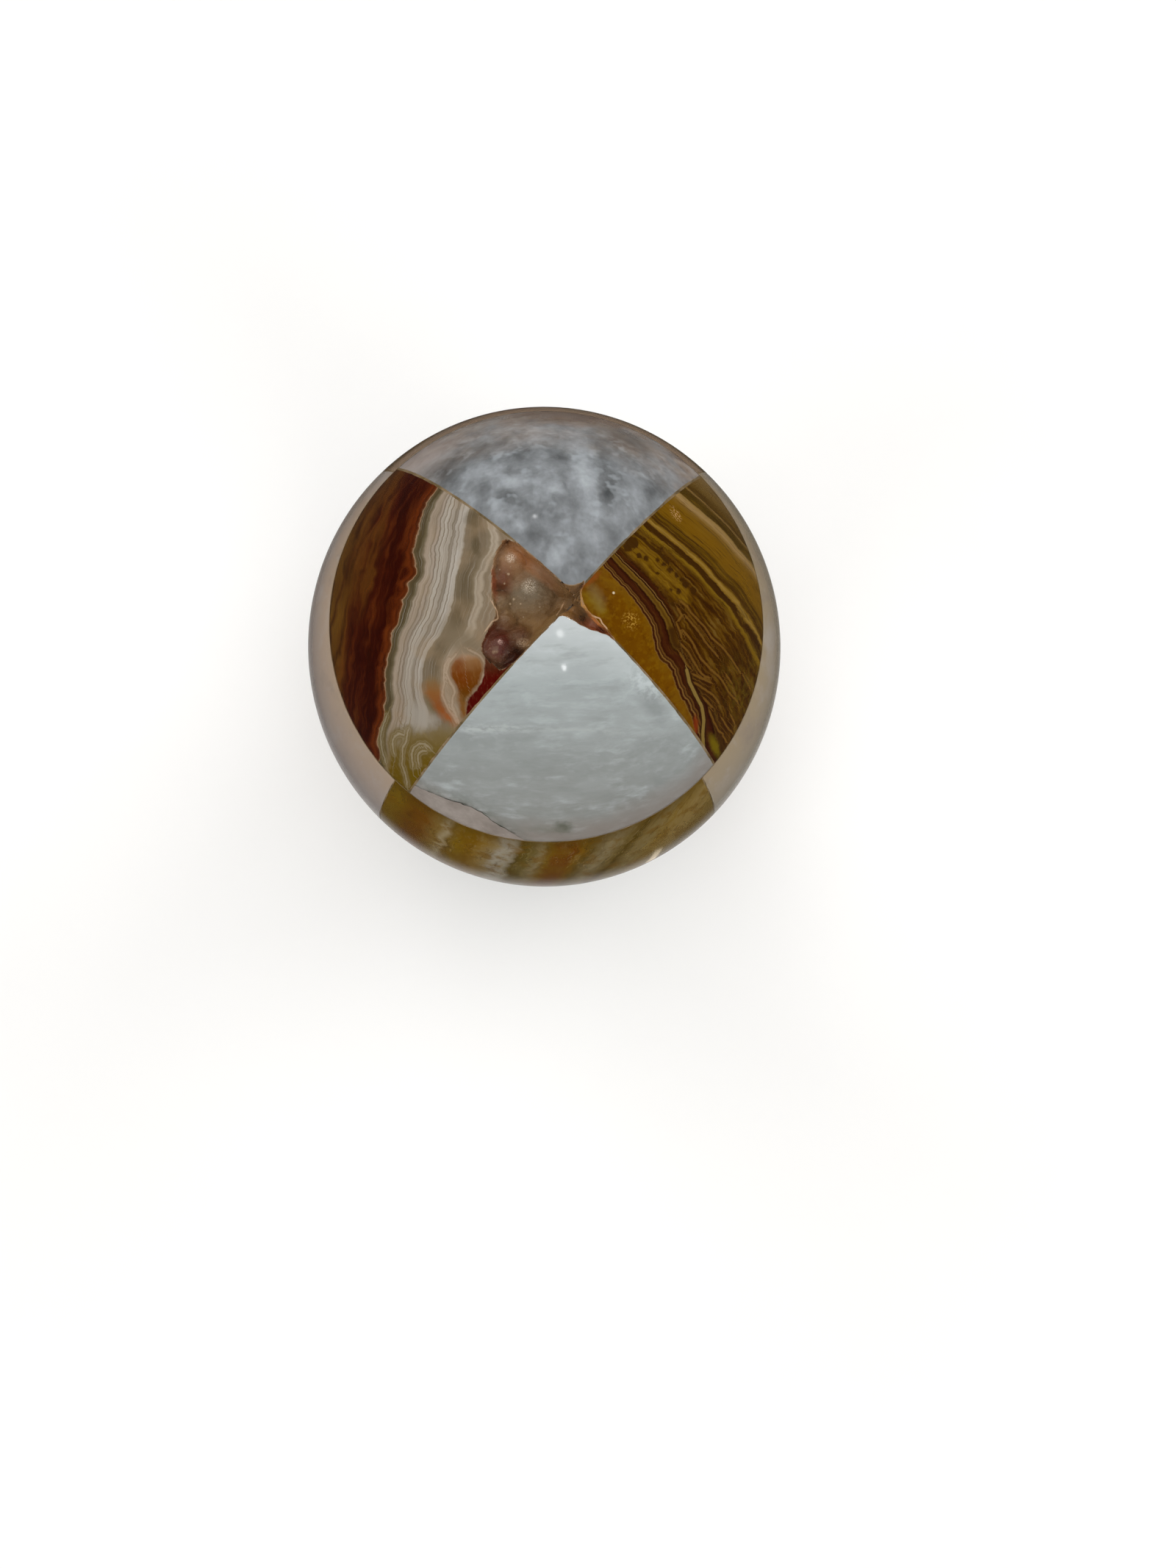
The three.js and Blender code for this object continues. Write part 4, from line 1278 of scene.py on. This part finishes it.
def crown_edges(corner):
    """The inner edge in plan of a crown block, a little blunt, and the two ends of its rim."""
    tip = apex(CROWN_JOINTS, corner)
    ends = joint_ends(CROWN_JOINTS, corner, CROWN_RADIUS)
    starts = [tip + (end - tip) / np.hypot(*(end - tip)) * TIP_BLUNT[corner] for end in ends]
    return np.linspace(*starts, CROWN_COLUMNS), ends


def crown_slab(grid):
    """A crown block's body under the points of its top, whose rim stays above the level joint."""
    grid[-1, :, 2] = np.maximum(grid[-1, :, 2], CROWN_LOW + RIM_RISE)
    return slab(grid, CROWN_LOW)


def crown_block(corner):
    """A crown block's body."""
    inner, ends = crown_edges(corner)
    grid = crown_grid(inner, arc(ends, CROWN_COLUMNS), CROWN_ROWS)
    return crown_slab(edge_worn(grid, CROWN_JOINTS, corner))


def front_blocks():
    """The front crown block and the sliver beyond the crack at its foot."""
    inner, ends = crown_edges("front")
    ring = arc(ends, RIM_STEPS)
    crack = resampled(rounded(CRACK, 1, closed=False), CRACK_STEPS)
    crack = crack + CRACK_WAVER * np.stack([ripple(crack, 0.8, 21), ripple(crack, 0.8, 22)], -1)
    crack[-1] = np.array(CRACK[-1])
    turn = np.arctan2(ring[:, 1], ring[:, 0])
    crack_end = math.atan2(crack[-1][1], crack[-1][0])
    outer = resampled(np.vstack([crack, ring[turn > crack_end + CRACK_GAP[0]]]), CROWN_COLUMNS)
    main = edge_worn(crown_grid(inner, outer, CROWN_ROWS), CROWN_JOINTS, "front")
    low_edge = resampled(ring[turn < crack_end], CRACK_STEPS)
    share = np.linspace(0, 1, CRACK_STEPS)[:, None]
    high_edge = crack + (low_edge - crack) * (CRACK_GAP[0] * (1 - share) + CRACK_GAP[1] * share)
    sliver = crown_grid(high_edge, low_edge, SLIVER_ROWS, 1.0)
    sliver[0, :, 2] -= 0.01
    return crown_slab(main), crown_slab(sliver)


def side_block(joints, corner, high, low):
    """A belly or base block's body between two levels."""
    grid = []
    for height in np.linspace(high, low, SIDE_ROWS):
        ring = arc(joint_ends(joints, corner, float(radius_at(height))), SIDE_COLUMNS)
        grid.append(np.column_stack([ring, np.full(SIDE_COLUMNS, height)]))
    grid = edge_worn(np.array(grid), joints, corner)
    grid[0, :, 2] = high
    grid[-1, :, 2] = low
    return wedge(grid, apex(joints, corner))


CEMENT_ROWS = 90
CEMENT_COLUMNS = 240


def cement_sheet(joints, name, high, low, crown=False):
    """The cement in one upright joint of a tier."""
    offsets = (-CEMENT_HALF, 0.0, CEMENT_HALF)
    normal = normal_of(joints, name)
    start = normal * joints[name][1]
    if not crown:
        rows = []
        for height in np.linspace(high, low, CEMENT_ROWS):
            radius = float(radius_at(height)) - CEMENT_UNDER
            rows.append([[*on_joint(joints, name, 1, radius, shift), height] for shift in offsets])
        return wedge(np.array(rows), start)
    radius = float(radius_at(low + 0.05)) - CEMENT_UNDER
    share = np.linspace(0, 1, CEMENT_COLUMNS)[:, None]
    columns = [(start + normal * shift) * (1 - share) + on_joint(joints, name, 1, radius, shift) * share
               for shift in offsets]
    plan = np.stack(columns, 1)
    grid = np.concatenate([plan, stone_height(plan)[..., None] - CEMENT_UNDER], -1)
    grid[..., 2] = np.maximum(grid[..., 2], low + 0.01)
    return slab(grid, low)


def tube(rings, sides=ROUND_STEPS):
    """The points and side faces of a round body, whose rings of (radius, height) go down it."""
    turn = np.linspace(0, 2 * math.pi, sides + 1)[:-1]
    points = [np.column_stack([on_circle(radius, turn), np.full(sides, height)])
              for radius, height in rings]
    faces = []
    for first in range(0, (len(rings) - 1) * sides, sides):
        for here in range(sides):
            after = (here + 1) % sides
            faces.append([first + here, first + sides + here, first + sides + after, first + after])
    return np.vstack(points), faces


def cement_disc(level):
    """The cement in one level joint."""
    heights = (level + CEMENT_HALF, level, level - CEMENT_HALF)
    points, faces = tube([(float(radius_at(height)) - CEMENT_UNDER, height) for height in heights])
    faces.append(list(range(ROUND_STEPS)))
    faces.append(list(range(3 * ROUND_STEPS - 1, 2 * ROUND_STEPS - 1, -1)))
    return points, faces


def cement_web():
    """All the cement between the blocks as one body."""
    bodies = [cement_disc(level) for level in (CROWN_JOINT, BASE_JOINT)]
    for name in JOINT_TURN:
        bodies.append(cement_sheet(CROWN_JOINTS, name, TOP, CROWN_JOINT, crown=True))
        bodies.append(cement_sheet(BELLY_JOINTS, name, CROWN_JOINT, BASE_JOINT))
        bodies.append(cement_sheet(BASE_JOINTS, name, BASE_JOINT, 0.01))
    return joined(bodies)


RESIN_STEP = 0.13


def resin_body():
    """The resin: a cast skin flush with the egg above, and the shape of the hollow's wall below."""
    xs = np.arange(-8.2, 7.8, RESIN_STEP)
    ys = np.arange(-9.2, 7.4, RESIN_STEP)
    plan = np.stack(np.meshgrid(xs, ys, indexing="ij"), -1)
    depth_in = in_hollow(plan)
    top = surface_height(plan[..., 0], plan[..., 1]) + np.interp(depth_in, (-0.12, 0.03), (-0.02, 0.004))
    bottom = np.minimum(stone_height(plan) - 0.05, top - 0.03)
    kept = depth_in > -0.25
    cells = np.zeros(kept.shape, bool)
    cells[:-1, :-1] = kept[:-1, :-1] & kept[1:, :-1] & kept[:-1, 1:] & kept[1:, 1:]
    used = cells.copy()
    used[1:] |= cells[:-1]
    used[:, 1:] |= used[:, :-1].copy()
    index = np.cumsum(used).reshape(used.shape) - 1
    count = int(used.sum())
    points = np.vstack([np.column_stack([plan[used], height[used]]) for height in (top, bottom)])
    faces = []
    for i, j in np.argwhere(cells):
        corners = [int(index[place]) for place in ((i, j), (i + 1, j), (i + 1, j + 1), (i, j + 1))]
        faces.append(corners)
        faces.append([count + corner for corner in reversed(corners)])
        for side, beside in enumerate(((i, j - 1), (i + 1, j), (i, j + 1), (i - 1, j))):
            if not cells[beside]:
                first, second = corners[side], corners[(side + 1) % 4]
                faces.append([first, count + first, count + second, second])
    return points, faces


# The stones of the crown, which the base repeats, and what the crown's points keep for them
STONES = {"front": ("white_onyx", white_stone, front_fields),
          "right": ("gold_brown_onyx", gold_brown_stone, right_fields),
          "back": ("grey_marble", grey_stone, depth_field),
          "left": ("red_brown_onyx", red_brown_stone, left_fields)}
SLOPING = {"right": sloping_fields(35, 0, 18), "left": sloping_fields(-30, 200, 8)}


def make_crown():
    """The crown's four blocks, the sliver of the front one, and the resin."""
    front, sliver = front_blocks()
    for corner, (name, stone, fields) in STONES.items():
        body = front if corner == "front" else crown_block(corner)
        make_piece(f"crown_{corner}_stone", body, stone(f"{name}_crown", crown=True), f"crown_{corner}",
                   fields)
    make_piece("crown_front_flake", sliver, sliver_stone(), "crown_front_sliver")
    resin = make_piece("hollow_resin", resin_body(), resin_finish(), "crown_resin", sharp=60)
    resin.visible_shadow = False


def make_belly():
    """The four blocks round the egg's widest circle."""
    blocks = {"front": (amber_stone("amber_onyx_belly"), upright_fields(-90)),
              "right": (pale_stone("pale_onyx_belly_right", (178, 159, 130), (182, 170, 152)), None),
              "back": (amber_stone("dark_amber_onyx_belly", dark=True), upright_fields(90, 0.6, -0.8, 5.0)),
              "left": (pale_stone("pale_onyx_belly_left"), None)}
    for corner, (finish, fields) in blocks.items():
        body = side_block(BELLY_JOINTS, corner, CROWN_JOINT - LINE_HALF, BASE_JOINT + LINE_HALF)
        make_piece(f"belly_{corner}_stone", body, finish, f"belly_{corner}", fields)


def make_base():
    """The four blocks that the egg stands on."""
    for corner, (name, stone, _) in STONES.items():
        body = side_block(BASE_JOINTS, corner, BASE_JOINT - LINE_HALF, 0.0)
        make_piece(f"base_{corner}_stone", body, stone(f"{name}_base"), f"base_{corner}",
                   SLOPING.get(corner))


BACKDROP_RADIUS = 1.25
BACKDROP_HEIGHT = 1.6
BACKDROP_SIDES = 96
FLOOR_HALF = 3.0
AS_GIVEN = (1.0, 1.0, 1.0, 1.0)


def make_floor():
    """A plain pale floor that the polish doesn't mirror."""
    corners = [(x * FLOOR_HALF, y * FLOOR_HALF, 0) for x, y in ((-1, -1), (1, -1), (1, 1), (-1, 1))]
    f = Finish("pale_floor", 0.6)
    material = f.coloured(f.mix(f.noise(40, 2), (241, 240, 238), (244, 243, 241)), AS_GIVEN)
    floor = linked("floor", corners, [[0, 1, 2, 3]], material)
    floor.visible_glossy = False


def make_backdrop():
    """A pale wall far behind the egg on every side, which lights nothing."""
    points, faces = tube([(BACKDROP_RADIUS, BACKDROP_HEIGHT), (BACKDROP_RADIUS, 0.0)], BACKDROP_SIDES)
    f = Finish("pale_wall", 0.9, Emission_Color=(0.84, 0.83, 0.81, 1.0), Emission_Strength=0.8)
    material = f.coloured(f.mix(f.noise(90, 2), (120, 119, 117), (124, 123, 121)), AS_GIVEN)
    material.cycles.emission_sampling = "NONE"
    wall = linked("backdrop", points, faces, material)
    wall.visible_glossy = False
    wall.visible_diffuse = False
    wall.visible_shadow = False


# How far from the egg the lamps of the glints are, and the soft lamps above and around it
GLINT_AWAY = 600
OVERHEAD_AWAY = 1000
FILL_AWAY = 1100
FILL_TURNS = (35, 125, 215, 305)


def make_lamp(name, target, direction, distance, size, power):
    """A soft lamp at a distance from a point of the egg, facing it."""
    lamp = bpy.data.lights.new(name, "AREA")
    lamp.shape = "RECTANGLE"
    lamp.size, lamp.size_y = size[0] * MM, size[1] * MM
    lamp.energy = power
    holder = bpy.data.objects.new(name, lamp)
    towards = Vector(direction).normalized()
    holder.location = Vector(target) * MM + towards * distance * MM
    holder.rotation_mode = "QUATERNION"
    holder.rotation_quaternion = towards.to_track_quat("Z", "Y")
    bpy.context.scene.collection.objects.link(holder)
    return holder


def make_light():
    """A studio of soft lamps that the polish doesn't mirror, and small ones whose glints it shows."""
    world = bpy.data.worlds.new("studio")
    world.use_nodes = True
    nodes, links = world.node_tree.nodes, world.node_tree.links
    room = nodes["Background"]
    room.inputs["Color"].default_value = (1.0, 0.98, 0.95, 1)
    split = nodes.new("ShaderNodeSeparateXYZ")
    links.new(nodes.new("ShaderNodeTexCoord").outputs["Generated"], split.inputs[0])
    level = nodes.new("ShaderNodeMapRange")
    links.new(split.outputs[2], level.inputs["Value"])
    for name, value in (("From Min", -0.9), ("From Max", -0.98), ("To Min", ROOM_LIGHT),
                        ("To Max", BELOW_LIGHT)):
        level.inputs[name].default_value = value
    links.new(level.outputs[0], room.inputs["Strength"])
    bpy.context.scene.world = world
    soft = [make_lamp("overhead", (0, 0, 60), (0.05, 0.15, 1.0), OVERHEAD_AWAY, (1300, 1300),
                      OVERHEAD_POWER)]
    for turn in FILL_TURNS:
        angle = math.radians(turn)
        towards = (math.cos(angle), math.sin(angle), 0.35)
        soft.append(make_lamp(f"fill_{turn}", (0, 0, 45), towards, FILL_AWAY, (900, 700), FILL_POWER))
    for lamp in soft:
        lamp.visible_glossy = False
    make_lamp("near_glint", (1.46, -7.75, 82.4), (0.154, -0.536, 0.83), GLINT_AWAY, (16, 34), 0.035)
    make_lamp("soft_glint", (1.0, -4.31, 83.4), (0.115, -0.229, 0.966), GLINT_AWAY, (40, 44), 0.04)
    make_lamp("far_glint", (-1.65, 8.53, 82.0), (-0.114, 0.86, 0.497), GLINT_AWAY, (14, 14), 0.012)
    streak = make_lamp("table_glint", (14.69, -28.42, 48.0), (0.212, -0.229, -0.95), 40, (2, 11), 0.00005)
    streak.data.color = (1.0, 0.86, 0.62)
    streak.visible_camera = False


def make_camera():
    """The camera of the photo."""
    data = bpy.data.cameras.new("camera")
    data.lens = CAMERA_LENS
    data.sensor_width = CAMERA_SENSOR
    data.clip_start = 0.01
    back = -Vector(CAMERA_LOOK).normalized()
    right = Vector((0, 1, 0)).cross(back).normalized()
    up = back.cross(right)
    turn = Matrix((right, up, back)).transposed().to_4x4()
    camera = bpy.data.objects.new("camera", data)
    camera.matrix_world = Matrix.Translation(Vector(CAMERA_PLACE) * MM) @ turn
    bpy.context.scene.collection.objects.link(camera)
    bpy.context.scene.camera = camera


make_camera()
make_crown()
make_belly()
make_base()
make_piece("glue_lines", cement_web(), cement_finish(), "joint_cement", depth_field)
make_floor()
make_backdrop()
make_light()
bpy.context.scene.view_settings.view_transform = "Standard"
